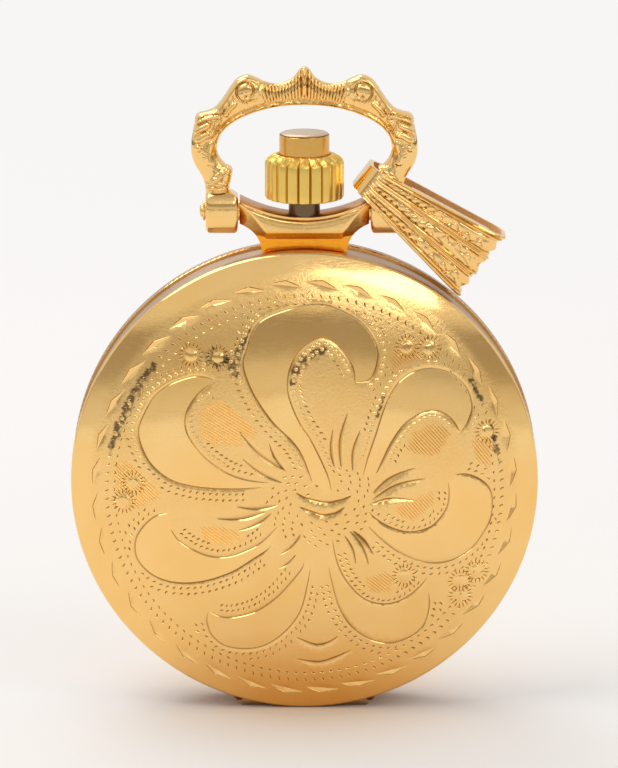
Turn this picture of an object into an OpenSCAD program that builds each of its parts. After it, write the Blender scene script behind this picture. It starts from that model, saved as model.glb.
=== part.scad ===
// Full hunter pocket watch, a small pendant size, standing on its case hinges.
// Millimetres. The case axis runs along Y, the pendant points to +Z and the front cover faces -Y.
// Modules are drawn in the dial frame: x to the right, y towards the pendant, z towards the viewer.

/* [Movement] */
// Diameter of the movement
movement_d = 21; // [19:0.5:24]
// Thickness of the main plate
plate_t = 0.95; // [0.8:0.05:1.1]
// Room for the wheel train between main plate and bridges
train_gap = 1.6; // [1.6:0.05:1.8]
// Thickness of the bridges
bridge_t = 0.65; // [0.5:0.05:0.8]
// Thickness of the dial
dial_t = 0.3; // [0.2:0.05:0.35]
// Distance of the seconds arbor from the dial centre
seconds_x = 5.4; // [5.2:0.1:5.7]
// Diameter of the balance wheel
balance_d = 7; // [6:0.2:7.2]
// Length of the minute hand
minute_len = 8.2; // [6.5:0.1:8.8]
// Length of the hour hand
hour_len = 5.4; // [4:0.1:6]
// Length of the seconds hand
seconds_len = 2; // [1.4:0.1:2.4]

/* [Case] */
// Wall that holds the movement
inner_wall = 0.75; // [0.6:0.05:1]
// Width of the channel for the case springs
spring_channel = 2.45; // [2.2:0.05:3]
// Outer wall of the band
band_wall = 0.55; // [0.4:0.05:0.8]
// How far the cover rims stand proud of the band
rim_proud = 0.2; // [0.1:0.05:0.4]
// Height of the band between the two covers
band_h = 2.8; // [2.6:0.1:3.4]
// Height of a cover's straight rim
rim_h = 0.75; // [0.7:0.05:1.1]
// Rise of a cover's dome above its rim
dome_rise = 2.1; // [1.9:0.1:3]
// How late the dome bends down to its rim
dome_power = 2.9; // [2:0.1:4]
// Sheet thickness of the covers
cover_t = 0.4; // [0.3:0.05:0.5]
// Distance of the band's two grooves from its edges
groove_in = 0.25; // [0.2:0.05:0.35]

/* [Hinges] */
// Diameter of the hinge barrels
knuckle_d = 1; // [0.9:0.05:1.2]
// Diameter of the hinge pins
hinge_pin_d = 0.5; // [0.4:0.05:0.6]
// Length of a hinge barrel row
hinge_len = 7.8; // [6:0.2:9]

/* [Pendant and bow] */
// Height of the bow's screws above the case edge
pendant_rise = 2.2; // [2:0.1:2.8]
// Width of the pendant across its ears
pendant_w = 8; // [7.6:0.1:8.6]
// Depth of the pendant from front to back
pendant_depth = 2.4; // [2.2:0.05:2.4]
// Outer width of the bow at its widest place
bow_w = 14; // [13.4:0.2:14.6]
// Height of the bow's peak above its screws
bow_h = 9.05; // [8.6:0.05:9.4]
// Thickness of the bow's rail
bow_rail_d = 1.3; // [1.1:0.05:1.5]
// Diameter of the bow screws
bow_screw_d = 1; // [0.8:0.05:1.1]

/* [Bail] */
// Length of the bail
bail_len = 9.6; // [9:0.1:10]
// Width of the bail at its wide end
bail_wide = 4.7; // [4:0.1:5]
// Width of the bail at its narrow end
bail_narrow = 1.7; // [1.4:0.1:2.2]
// Thickness of the bail's sheet
bail_t = 0.35; // [0.25:0.05:0.45]
// Slope of the bail where it rests on the case
bail_slope = 37.5; // [37:0.5:39]

/* [Crown] */
// Diameter of the crown
crown_d = 4.9; // [4.2:0.1:5.2]
// Height of the crown
crown_h = 2.8; // [2.4:0.1:3]
// Flutes round the crown
crown_flutes = 20; // [16:1:24]
// Diameter of the push button
button_d = 3.1; // [2.6:0.1:3.4]
// Height of the push button above the crown
button_h = 1.4; // [1.2:0.1:1.8]
// Travel of the push button
button_travel = 0.6; // [0.3:0.1:0.6]
// Diameter of the winding stem
stem_d = 1.2; // [1:0.05:1.3]

/* [Colours] */
// Gold of the case
gold = "#dcb25c";
// Deeper gold of the crown
crown_gold = "#e0a526";
// Steel of screws, stem and springs
steel = "#8d8f92";
// Blued steel of the hands
blued = "#1f2f6b";
// Gilt brass of plates and wheels
gilt = "#caa657";
// Silvery bridges
nickel = "#b9bab4";
// Jewels
ruby = "#b3214b";
// Enamel of the dial
enamel = "#f4f1e8";

/* [Hidden] */

$fn = 64;
eps = 0.02;
fit = 0.03;
run_gap = 0.05;
side_gap = 0.04;

// Case radii, from the movement outwards
movement_r = movement_d / 2;
seat_r = movement_r + run_gap;
channel_r = seat_r + inner_wall;
wall_r = channel_r + spring_channel;
band_r = wall_r + band_wall;
case_r = band_r + rim_proud;
// The joint bed stands this much below the rims, so its flat underside carries the watch
bed_proud = 0.03;
case_z = case_r + bed_proud;

// Case heights along its axis, measured from the middle of the band
band_z = band_h / 2;
rim_z = band_z + rim_h;
dome_z = rim_z + dome_rise;
flange_t = 0.4;

// Hinges lie in the parting planes, flush with the bottom of the case
knuckle_r = knuckle_d / 2;
hinge_y = -(case_r - knuckle_r);
knuckles = 5;
notch_half = hinge_len / 2 + side_gap;

// Movement heights, and how far its through holes are drawn
clear_z = 0.4 * movement_d;
plate_back = 0.05;
plate_front = plate_back + plate_t;
bridge_in = plate_back - train_gap;
bridge_out = bridge_in - bridge_t;
dial_back = plate_front + run_gap;
dial_front = dial_back + dial_t;
recess_floor = plate_front - 0.5;
seconds_z = dial_front + 0.05;
hour_z = seconds_z + 0.14;
minute_z = hour_z + 0.2;
hand_t = 0.08;
dial_r = movement_r - 0.1;

// Wheel train: teeth and modules of each pair
barrel_n = 72;
centre_pinion_n = 12;
barrel_m = 0.115;
centre_n = 64;
third_pinion_n = 8;
centre_m = 0.105;
third_n = 60;
fourth_pinion_n = 8;
third_m = 0.1;
fourth_n = 70;
escape_pinion_n = 7;
fourth_m = 0.085;
cannon_n = 12;
minute_n = 36;
cannon_m = 0.11;
minute_pinion_n = 10;
hour_n = 40;
crown_wheel_n = 30;
contrate_r = 2;
contrate_t = 0.3;
crown_hub_r = 0.8;
ratchet_n = 50;

function pair(m, a, b) = m * (a + b) / 2;
function polar(r, a) = [r * cos(a), r * sin(a)];
function away(p, q) = atan2(q[1] - p[1], q[0] - p[0]);
function gap_of(p, q) = norm(q - p);
function third_of(r1, r2, d) = let(x = (r1 * r1 - r2 * r2 + d * d) / (2 * d)) [x, sqrt(r1 * r1 - x * x)];

centre_p = [0, 0];
barrel_p = polar(pair(barrel_m, barrel_n, centre_pinion_n), 162);
fourth_p = [seconds_x, 0];
third_p = third_of(pair(centre_m, centre_n, third_pinion_n), pair(third_m, third_n, fourth_pinion_n), seconds_x);
escape_p = fourth_p + polar(pair(fourth_m, fourth_n, escape_pinion_n), -107);
balance_p = [-0.6, -5.3];
pallet_p = escape_p + polar(1.85, away(escape_p, balance_p));
minute_dist = pair(cannon_m, cannon_n, minute_n);
minute_p = polar(minute_dist, 205);
hour_m = 2 * minute_dist / (minute_pinion_n + hour_n);
crown_wheel_p = [0, movement_r - 3.95];
winding_m = 2 * gap_of(crown_wheel_p, barrel_p) / (crown_wheel_n + ratchet_n);

// Heights of the wheels: the face nearer to the dial, and the thickness
wheel_t = 0.18;
centre_z = -0.03;
barrel_top = -0.35;
barrel_h = 1.1;
barrel_teeth_t = 0.25;
fourth_z = -0.45;
third_z = -1.1;
escape_z = -0.74;
fork_t = 0.14;
cock_in = -0.95;
cock_t = 0.17;
balance_z = -1.22;
balance_t = 0.28;
spring_z = -1.66;
spring_h = 0.14;
balance_cock_in = -1.95;
balance_cock_t = 0.5;
winding_z = bridge_out - run_gap;
winding_t = 0.24;

// Pendant and bow
bow_y = case_r + pendant_rise;
ear_r = pendant_w / 2;
boss_w = pendant_w / 4;
boss_r = 0.1725 * pendant_w;
boss_depth = pendant_depth - 0.3;
boss_x = ear_r + 0.1;
boss_out = boss_x + boss_w;

// Crown, button and stem
sleeve_od = 1.94;
sleeve_top = bow_y + 0.7;
crown_y = sleeve_top + 0.1;
crown_top = crown_y + crown_h;
button_top = crown_top + button_h;
button_wall = 0.3;
stem_foot = movement_r - 4.6;
pull_travel = 0.6;
lever_p = [1.5, movement_r - 0.85];
peg_y = lever_p[1] - pull_travel / 2;
peg_r = 0.14;
groove_half = peg_r + side_gap;
groove_core_r = stem_d / 2 - 0.2;
lever_t = 0.25;
winding_y = movement_r - 2.5;
winding_r = 0.95;
winding_w = 0.9;
clutch_w = 1;
clutch_bore = 0.6;

// Bail
bail_gap = 2.5;
bail_half = bail_gap / 2 + bail_t;

// The dial frame, set upright
module upright() {
    translate([0, 0, case_z]) rotate([90, 0, 0]) children();
}

// A disc or tube between two heights along the case axis
module disc(r, z0, z1) {
    translate([0, 0, min(z0, z1)]) cylinder(r = r, h = abs(z1 - z0));
}

module tube(ro, ri, z0, z1) {
    difference() {
        disc(ro, z0, z1);
        disc(ri, min(z0, z1) - 1, max(z0, z1) + 1);
    }
}

// A rod along the stem's direction
module rod(r, y0, y1) {
    translate([0, y1, 0]) rotate([90, 0, 0]) cylinder(r = r, h = y1 - y0);
}

// A rod along x
module cross_rod(r, x0, x1) {
    translate([x0, 0, 0]) rotate([0, 90, 0]) cylinder(r = r, h = x1 - x0);
}

// Plain wheel teeth: straight flanks with flat tips
module teeth(n, m, root_share = 0.25, tip_share = 0.1, turn = 0) {
    pitch = 360 / n;
    root = m * (n / 2 - 1.2);
    tip = m * (n / 2 + 0.85);
    polygon([for (i = [0 : n - 1]) for (k = [[-root_share, root], [-tip_share, tip], [tip_share, tip],
        [root_share, root]]) polar(k[1], turn + pitch * (i + k[0]))]);
}

// Sector-shaped windows between the spokes
module windows(n, r0, r1, spoke) {
    for (i = [0 : n - 1]) rotate(i * 360 / n) difference() {
        intersection() {
            circle(r1);
            polygon([[0, 0], polar(2 * r1, 0), polar(2 * r1, 180 / n), polar(2 * r1, 360 / n)]);
        }
        circle(r0);
        translate([-r1, -spoke / 2]) square([3 * r1, spoke]);
        rotate(360 / n) translate([-r1, -spoke / 2]) square([3 * r1, spoke]);
    }
}

// A spoked wheel whose front face lies at z
module wheel(n, m, z, t, turn, spokes = 5, hub = 0.62, rim = 0.32) {
    translate([0, 0, z - t]) linear_extrude(t) difference() {
        teeth(n, m, turn = turn);
        rotate(turn) windows(spokes, hub, m * (n / 2 - 1.2) - rim, 0.24);
    }
}

module pinion(n, m, z0, z1, turn) {
    translate([0, 0, z1]) linear_extrude(z0 - z1) teeth(n, m, 0.22, 0.1, turn);
}

// Turn that puts a tooth of one wheel on the line to its partner, and a gap of the partner there
function on_line(p, q) = away(p, q);
function off_line(p, q, n) = away(p, q) + 180 / n;

// A spiral strip, wound outwards
module spiral(r0, r1, turns, w, steps = 20) {
    n = turns * steps;
    function sp(i, s) = polar(r0 + (r1 - r0) * i / n + s * w / 2, 360 * i / steps);
    polygon([for (i = [0 : n]) sp(i, 1), for (i = [n : -1 : 0]) sp(i, -1)]);
}

// A screw head with its slot, resting on height z and pointing to the back
module slotted_head(r, z, t) {
    difference() {
        disc(r, z, z - t);
        translate([-r - 1, -0.06, z - t - 1]) cube([2 * r + 2, 0.12, 1 + t * 0.4]);
    }
}

// Case: catch, springs and screws share the channel of the band
catch_x = 1.5;
catch_w = 1.7;
catch_t = 0.35;
catch_y = wall_r - 0.75;
catch_end = 0.55;
spring_screw_r = channel_r + spring_channel * 0.55;
spring_screw_d = 0.7;
lock_a = 24;
lift_a = -24;
spring_t = 0.26;
spring_half = 0.75;
case_screw_a = [158, -42];
case_screw_r = movement_r - 0.15;
case_screw_head = 0.5;
ledge_t = 0.35;
ledge_w = 0.42;

module hinge_segment(i, r, side, extra = 0) {
    seg = hinge_len / knuckles;
    x0 = -hinge_len / 2 + i * seg + side_gap / 2 - extra;
    translate([0, hinge_y, side * band_z]) cross_rod(r, x0, x0 + seg - side_gap + 2 * extra);
}

module hinge_bore(side, r) {
    translate([0, hinge_y, side * band_z]) cross_rod(r, -hinge_len, hinge_len);
}

// The joint bed under the band carries both rows of case knuckles; its shoulders taper into the band
module joint_bed() {
    shoulder = hinge_len / 2 + 1.9;
    shoulder_y = -sqrt(band_r * band_r - shoulder * shoulder) + 0.2;
    translate([0, 0, -band_z]) linear_extrude(band_h) polygon([[-shoulder, shoulder_y],
        [-notch_half, -case_z], [notch_half, -case_z], [shoulder, shoulder_y], [0, 0.1 - wall_r]]);
}

module band_ring() {
    rotate_extrude($fn = 128) difference() {
        union() {
            translate([wall_r, -band_z]) square([band_wall, band_h]);
            translate([seat_r, band_z - flange_t]) square([wall_r - seat_r + eps, flange_t]);
            translate([seat_r, bridge_in]) square([inner_wall, band_z - bridge_in]);
            translate([seat_r - ledge_w, plate_back - ledge_t]) square([ledge_w + eps, ledge_t]);
        }
        for (side = [-1, 1])
            translate([band_r, side * (band_z - groove_in)]) circle(0.07, $fn = 4);
    }
}

module case_band() {
    color(gold) upright() difference() {
        union() {
            band_ring();
            difference() {
                joint_bed();
                disc(wall_r, -band_h, band_h);
            }
            for (side = [-1, 1]) for (i = [0, 2, 4]) hinge_segment(i, knuckle_r, side);
        }
        for (side = [-1, 1]) {
            hinge_bore(side, hinge_pin_d / 2);
            for (i = [1, 3]) hinge_segment(i, knuckle_r + run_gap, side, side_gap);
        }
        rod(sleeve_od / 2, channel_r + 1, case_r + 1);
        rod(stem_d / 2 + 0.1, seat_r - 1, wall_r);
        translate([catch_x - 0.15, catch_y - 0.2, 0]) cube([catch_w + 0.3, catch_t + 0.4, case_r]);
        for (a = [lock_a, lift_a]) rotate(a) translate([spring_screw_r, 0, 0]) cylinder(r = spring_screw_d / 2, h = case_r);
        for (a = case_screw_a) rotate(a) translate([case_screw_r, 0, 0])
            disc(case_screw_head + side_gap, bridge_in - 1, plate_back - ledge_t);
        for (a = case_screw_a) rotate(a) translate([case_screw_r, 0, 0]) disc(screw_r, -2, 2);
    }
}

// The facet plane slopes back from an edge of the front face
module facet_cut(from, to, tilt) {
    translate(from) rotate([0, 0, atan2(to[1] - from[1], to[0] - from[0])]) rotate([-tilt, 0, 0])
        translate([-20, -20, 0]) cube([40, 40, 10]);
}

pendant_saddle = 0.85;
pendant_mouth = ear_r - 0.45;
saddle_r = (pendant_mouth * pendant_mouth + pendant_saddle * pendant_saddle) / (2 * pendant_saddle);
saddle_y = bow_y - 0.15;
ear_top = saddle_y + pendant_saddle + 0.2;
screw_deep = 1.3;
swell_r = 5;
flank_r = 0.77 * pendant_rise;

module pendant() {
    front = pendant_depth / 2;
    color(gold) upright() difference() {
        intersection() {
            translate([-ear_r, band_r - 0.6, -front]) cube([pendant_w, ear_top - band_r + 0.6, pendant_depth]);
            // the front and the back swell in the middle of their height
            for (f = [0, 1]) mirror([0, 0, f]) translate([0, bow_y - 1.2, front - swell_r])
                cross_rod(swell_r, -pendant_w, pendant_w);
        }
        disc(band_r, -band_h, band_h);
        // saddle between the ears
        translate([0, saddle_y + saddle_r, 0]) cylinder(r = saddle_r, h = 2 * pendant_depth, center = true, $fn = 128);
        for (s = [0, 1]) mirror([s, 0, 0]) {
            // hollow flanks under the ears
            translate([ear_r + 0.35, band_r + 0.05, 0])
                cylinder(r = flank_r, h = 2 * pendant_depth, center = true);
            translate([ear_r - screw_deep, bow_y, 0]) cross_rod(bow_screw_d / 2, 0, pendant_w);
            // slanting facets at the corners
            for (f = [0, 1]) mirror([0, 0, f]) {
                facet_cut([ear_r - 0.3, ear_top - 0.1, front], [2.15, bow_y - 1.45, front], 30);
                facet_cut([2.15, bow_y - 1.45, front], [2.15, band_r, front], 30);
            }
        }
        rod(sleeve_od / 2, band_r - 1, ear_top + 1);
    }
}

module hinge_pin(side) {
    color(gold) upright() translate([0, hinge_y, side * band_z])
        cross_rod(hinge_pin_d / 2, -hinge_len / 2, hinge_len / 2);
}

module front_hinge_pin() {
    hinge_pin(1);
}

module rear_hinge_pin() {
    hinge_pin(-1);
}

// Space inside a cover: a smaller dome within the rim
module cover_hollow() {
    dome_body(wall_r, band_z - 1, -cover_t);
}

// A body under the dome's curve, out to a radius and down to a height
function dome_at(r) = rim_z + dome_rise * (1 - pow(r / case_r, dome_power));
module dome_body(r, low, lift) {
    steps = 16;
    rotate_extrude($fn = 200) polygon(concat([[0, low], [r, low]],
        [for (i = [steps : -1 : 0]) let(at = r * pow(i / steps, 0.7)) [at, dome_at(at) + lift]]));
}

module cover_shell() {
    seg = hinge_len / knuckles;
    difference() {
        union() {
            difference() {
                dome_body(case_r, band_z + fit, 0);
                cover_hollow();
                // notch for the hinge barrels
                translate([-notch_half, -case_r - 1, band_z - 1])
                    cube([2 * notch_half, case_r + hinge_y + knuckle_r + 2 + 1.1, 1 + knuckle_r + run_gap]);
            }
            for (i = [1, 3]) {
                hinge_segment(i, knuckle_r, 1);
                translate([-hinge_len / 2 + i * seg + side_gap / 2, hinge_y, band_z + fit])
                    cube([seg - side_gap, knuckle_r + 0.4, rim_h + 0.1]);
            }
        }
        hinge_bore(1, hinge_pin_d / 2 + fit);
    }
}

module front_cover() {
    color(gold) upright() {
        cover_shell();
        translate([catch_x, catch_y, catch_end]) cube([catch_w, catch_t, rim_z - catch_end + 0.05]);
    }
}

module rear_cover() {
    color(gold) upright() mirror([0, 0, 1]) cover_shell();
}

// Bezel and crystal
bezel_out = channel_r + 0.9;
bezel_in = dial_r - 0.1;
bezel_h = 0.8;
crystal_r = bezel_in + 0.6;
crystal_t = 0.45;
crystal_rise = 1.1;
crystal_z = band_z + 0.12;

module bezel() {
    top = band_z + bezel_h;
    color(gold) upright() rotate_extrude($fn = 128) polygon([[bezel_in, band_z], [bezel_out, band_z],
        [bezel_out, top - 0.25], [bezel_out - 0.6, top], [bezel_in + 0.2, top],
        [bezel_in + 0.2, crystal_z + crystal_t + 0.1], [crystal_r + eps, crystal_z + crystal_t + 0.05],
        [crystal_r + eps, crystal_z], [bezel_in, crystal_z]]);
}

module crystal() {
    dome = (crystal_r * crystal_r + crystal_rise * crystal_rise) / (2 * crystal_rise);
    middle = crystal_z + crystal_rise - dome;
    color("#e8f0f2", 0.35) upright() difference() {
        intersection() {
            translate([0, 0, middle + crystal_t]) sphere(r = dome, $fn = 200);
            disc(crystal_r, crystal_z, crystal_z + 5);
        }
        translate([0, 0, middle]) sphere(r = dome, $fn = 200);
    }
}

// A leaf spring in the band's channel, from its screw block at angle a0 to its free end at a1
module channel_spring(a0, a1, r, hole) {
    lo = min(a0, a1);
    hi = max(a0, a1);
    difference() {
        union() {
            translate([0, 0, -spring_half]) rotate(lo) rotate_extrude(angle = hi - lo, $fn = 128)
                translate([r - spring_t, 0]) square([spring_t, 2 * spring_half]);
            rotate(a0) translate([spring_screw_r, 0, -spring_half]) cylinder(r = 0.85, h = 2 * spring_half);
        }
        rotate(a0) translate([spring_screw_r, 0, -9]) cylinder(r = hole, h = 18);
    }
}

module lock_spring() {
    nose_a = atan2(catch_y, catch_x + catch_w / 2);
    color(steel) upright() {
        channel_spring(lock_a, nose_a, catch_y - 0.15, spring_screw_d / 2 + side_gap);
        translate([catch_x + 0.2, catch_y - 0.45, -spring_half]) cube([catch_w - 0.4, 0.5, 0.6]);
    }
}

module lift_spring() {
    color(steel) upright() channel_spring(lift_a, lift_a - 40, wall_r - 0.3, spring_screw_d / 2);
}

module spring_screws() {
    color(steel) upright() for (a = [lock_a, lift_a]) rotate(a) translate([spring_screw_r, 0, 0]) {
        disc(spring_screw_d / 2, -spring_half - 0.1, band_z - 0.1);
        slotted_head(0.7, -spring_half - run_gap, 0.25);
    }
}

module stem_sleeve() {
    color(steel) upright() difference() {
        rod(sleeve_od / 2, channel_r + 1.05, sleeve_top);
        rod(stem_d / 2 + run_gap, seat_r, sleeve_top + 1);
    }
}

// Crown, button and stem
button_r = button_d / 2;
button_foot = crown_top - 0.65;
crown_floor = button_foot - button_travel - run_gap;
crown_chamfer = 0.22;
crown_slant = 0.45;
flute_pitch = PI * crown_d / crown_flutes;

module crown() {
    r = crown_d / 2;
    color(crown_gold) upright() rotate([-90, 0, 0]) difference() {
        rotate_extrude($fn = 128) polygon([[0, crown_y], [r - crown_chamfer, crown_y],
            [r, crown_y + crown_chamfer], [r, crown_top - crown_slant], [r - 1.2 * crown_slant, crown_top], [0, crown_top]]);
        translate([0, 0, crown_y - 1]) cylinder(r = stem_d / 2, h = crown_h);
        translate([0, 0, crown_floor]) cylinder(r = button_r + side_gap, h = crown_h);
        for (i = [0 : crown_flutes - 1]) rotate(360 * (i + 0.5) / crown_flutes)
            {
                translate([r + 0.05, 0, crown_y - 1]) rotate(180) cylinder(r = flute_pitch * 0.28, h = crown_h + 2, $fn = 3);
                // wider cuts across the slanting top
                translate([r + 0.12, 0, crown_top - crown_slant - 0.12]) rotate([0, -50, 0]) rotate(180)
                    cylinder(r = flute_pitch * 0.42, h = 1.4, $fn = 3);
            }
    }
}

module crown_button() {
    cap_rise = 0.12;
    cap_r = (button_r * button_r + cap_rise * cap_rise) / (2 * cap_rise);
    color(crown_gold) upright() rotate([-90, 0, 0]) difference() {
        intersection() {
            translate([0, 0, button_foot]) cylinder(r = button_r, h = 5);
            translate([0, 0, button_top - cap_r]) sphere(r = cap_r, $fn = 200);
        }
        translate([0, 0, button_foot - 1]) cylinder(r = button_r - button_wall, h = button_top - button_foot + 1 - 0.6);
    }
}

module winding_stem() {
    square_w = 0.72;
    color(steel) upright() difference() {
        union() {
            rod(stem_d / 2, winding_y + winding_w + 0.1, crown_floor);
            translate([-square_w / 2, stem_foot + 0.7, -square_w / 2])
                cube([square_w, winding_y + winding_w + 0.15 - stem_foot - 0.7, square_w]);
            rod(square_w * 0.4, stem_foot, stem_foot + 0.75);
        }
        // groove for the setting lever's peg
        difference() {
            rod(stem_d, peg_y - groove_half, peg_y + groove_half);
            rod(groove_core_r, 0, case_r);
        }
    }
}

// Bow: one cast section swept between its outer and inner outlines, on two bored feet.
// Each row: where the outer edge is, where the inner edge is, and how many steps lead to the next row.
// Widths are shares of half the bow's width, heights are shares of its height above the bow's screws.
// The lowest rows keep to the feet, wherever the pendant puts them.
bow_rows = [
    [[0, 1], [0, 0.7337], 2], [[0.03, 0.9834], [0.043, 0.7326], 3], [[0.1, 0.9227], [0.107, 0.7315], 4],
    [[0.185, 0.8862], [0.171, 0.7271], 4], [[0.27, 0.884], [0.242, 0.7204], 4], [[0.356, 0.9006], [0.313, 0.7094], 3],
    [[0.427, 0.9282], [0.377, 0.6961], 2], [[0.505, 0.9448], [0.441, 0.6807], 2], [[0.583, 0.9204], [0.498, 0.663], 2],
    [[0.64, 0.8696], [0.548, 0.6464], 2], [[0.69, 0.8099], [0.597, 0.6254], 2], [[0.797, 0.7138], [0.676, 0.5823], 2],
    [[0.861, 0.6928], [0.704, 0.558], 2], [[0.925, 0.6818], [0.733, 0.5304], 2], [[0.962, 0.6519], [0.75, 0.5039], 1],
    [[0.967, 0.6077], [0.76, 0.4773], 1], [[0.982, 0.5547], [0.765, 0.4508], 1], [[1, 0.442], [0.754, 0.3923], 2],
    [[0.989, 0.3757], [0.728, 0.3591], 2], [[0.96, 0.3204], [0.69, 0.326], 2], [[0.925, 0.2762], [0.652, 0.3138], 2],
    [[0.896, 0.2376], [0.629, 0.2818], 2], [[0.88, 0.1989], [0.64, 0.232], 2], [[0.868, 0.1215], [0.654, 0.1215], 1]];
bow_half = bow_w / 2;
bow_deep = bow_rail_d / 2 - 0.08;
bow_sides = 14;
fan_reach = 0.34;

// A smooth curve through one column of the rows, mirrored over the middle of the arch
leg_share = 0.44;
foot_shift = boss_x + 0.61 * boss_w - 0.761 * bow_half;
function bow_point(i, side) = let(q = bow_rows[min(abs(i), len(bow_rows) - 1)][side],
    low = min(1, max(0, (leg_share - q[1]) / (leg_share - 0.15))))
    [(i < 0 ? -1 : 1) * (q[0] * bow_half + low * foot_shift), bow_y + q[1] * bow_h];
function bow_curve(i, t, side) = let(a = bow_point(i - 1, side), b = bow_point(i, side),
    c = bow_point(i + 1, side), d = bow_point(i + 2, side))
    (2 * b + (c - a) * t + (2 * a - 5 * b + 4 * c - d) * t * t + (3 * b - a - 3 * c + d) * t * t * t) / 2;
bow_half_steps = [for (i = [0 : len(bow_rows) - 2]) for (k = [0 : bow_rows[i][2] - 1])
    [bow_curve(i, k / bow_rows[i][2], 0), bow_curve(i, k / bow_rows[i][2], 1)]];
bow_steps = concat([for (i = [len(bow_half_steps) - 1 : -1 : 1]) [for (q = bow_half_steps[i]) [-q[0], q[1]]]],
    bow_half_steps);

module bow_casting() {
    n = len(bow_steps);
    points = [for (i = [0 : n - 1]) let(outer = bow_steps[i][0], inner = bow_steps[i][1],
            fan = abs(outer[0]) < fan_reach * bow_half,
            deep = bow_deep + 0.1 * pow(abs(outer[0]) / bow_half, 4) - (fan ? 0.12 * (i % 2) : 0))
        for (k = [0 : bow_sides - 1]) let(a = 360 * k / bow_sides, share = (1 - cos(a)) / 2)
            concat(inner + (outer - inner) * share, [deep * sign(sin(a)) * pow(abs(sin(a)), 0.8)])];
    walls = [for (i = [0 : n - 2]) for (k = [0 : bow_sides - 1])
        let(a = i * bow_sides + k, b = i * bow_sides + (k + 1) % bow_sides)
            [a, b, b + bow_sides, a + bow_sides]];
    polyhedron(points, concat(walls, [[for (k = [bow_sides - 1 : -1 : 0]) k]],
        [[for (k = [0 : bow_sides - 1]) (n - 1) * bow_sides + k]]), convexity = 10);
}

module volute(r, thick) {
    rotate_extrude() translate([r, 0]) circle(thick, $fn = 32);
    sphere(r = thick);
}

module bow_foot() {
    foot_mid = boss_x + boss_w * 0.5;
    translate([boss_x, bow_y, 0]) intersection() {
        cross_rod(boss_r, 0, boss_w);
        translate([0, -boss_r, -boss_depth / 2]) cube([boss_w, 2 * boss_r, boss_depth]);
    }
    // double collar over the foot
    for (rise = [boss_r - 0.1, boss_r + 0.22])
        translate([foot_mid - 0.78, bow_y + rise, -bow_deep - 0.16]) cube([1.56, 0.18, 2 * bow_deep + 0.32]);
}

module bow() {
    volute_p = [0.515 * bow_half, bow_y + 0.829 * bow_h];
    color(gold) upright() difference() {
        union() {
            bow_casting();
            for (s = [0, 1]) mirror([s, 0, 0]) {
                bow_foot();
                for (f = [-1, 1]) {
                    translate([volute_p[0], volute_p[1], f * (bow_deep - 0.1)]) volute(0.55, 0.2);
                    translate([bow_half * 0.94, bow_y + 0.436 * bow_h, f * (bow_deep - 0.1)]) sphere(r = 0.3);
                    translate([bow_half * 0.84, bow_y + 0.63 * bow_h, f * (bow_deep - 0.12)]) sphere(r = 0.32);
                    translate([bow_half * 0.68, bow_y + 0.722 * bow_h, f * (bow_deep - 0.12)]) sphere(r = 0.22);
                    translate([bow_half * 0.87, bow_y + 0.526 * bow_h, f * (bow_deep - 0.12)]) sphere(r = 0.26);
                }
            }
        }
        translate([0, bow_y, 0]) cross_rod(bow_screw_d / 2 + fit, -bow_w, bow_w);
    }
}

module bow_screws() {
    color(gold) upright() for (s = [0, 1]) mirror([s, 0, 0]) translate([0, bow_y, 0]) difference() {
        union() {
            cross_rod(bow_screw_d / 2, ear_r - screw_deep, boss_out + side_gap + 0.1);
            cross_rod(0.62, boss_out + side_gap, boss_out + side_gap + 0.35);
        }
        translate([boss_out + side_gap + 0.2, -0.09, -1]) cube([1, 0.18, 2]);
    }
}

// Bail: a folded loop of sheet that tapers towards its narrow end
bail_start = [boss_x - 0.64, bow_y + 2.44];

module round_box(x, y, r) {
    translate([r, -y / 2]) square([x - 2 * r, y]);
    translate([0, r - y / 2]) square([x, y - 2 * r]);
    for (i = [r, x - r]) for (j = [r - y / 2, y / 2 - r]) translate([i, j]) circle(r);
}

module bail_ribs(bottom, high) {
    spread = atan((bail_wide - bail_narrow) / 2 / bail_len);
    fan_x = bail_narrow / 2 / tan(spread);
    // double lines that fan out from the narrow end
    for (share = [-0.9, -0.32, 0.32, 0.9]) for (off = [-0.085, 0.085])
        translate([-fan_x, 0, bottom]) rotate(share * spread) translate([fan_x + 1, off - 0.05, 0])
            cube([bail_len - 2, 0.1, high]);
}

module bail() {
    color(gold) upright() translate(concat(bail_start, 0)) rotate(-bail_slope) {
        intersection() {
            rotate([90, 0, 0]) translate([0, 0, -bail_wide]) linear_extrude(2 * bail_wide) difference() {
                round_box(bail_len, 2 * bail_half, 1);
                translate([bail_t, 0]) round_box(bail_len - 2 * bail_t, bail_gap, 1 - bail_t);
            }
            translate([0, 0, -bail_half - 1]) linear_extrude(2 * bail_half + 2) polygon([[0, -bail_narrow / 2],
                [bail_len - 0.35, -bail_wide / 2], [bail_len, 0.25 - bail_wide / 2], [bail_len, bail_wide / 2 - 0.9],
                [bail_len - 0.7, bail_wide / 2], [0.3, bail_narrow / 2], [0, bail_narrow / 2 - 0.3]]);
        }
        for (f = [0, 1]) mirror([0, 0, f]) bail_ribs(bail_half - 0.1, 0.16);
    }
}

// Movement: plate, bridges and cocks
bridge_r = movement_r - 0.55;
screw_r = 0.3;
screw_head_r = 0.55;
jewel_r = 0.4;
jewel_t = 0.25;
pivot_r = 0.12;
arbor_r = 0.2;
cock_foot = [-6.6, -5.7];
cock_foot_r = 1.35;
pallet_foot = [4.9, -6.9];
pallet_foot_r = 0.75;
balance_r = balance_d / 2;
bridge_feet = [[-8.9, -2.6], [-6, 7.2], [3.6, 8.6]];
train_feet = [[8.6, 3.6], [8.6, -3.4]];
foot_r = 0.7;

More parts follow.
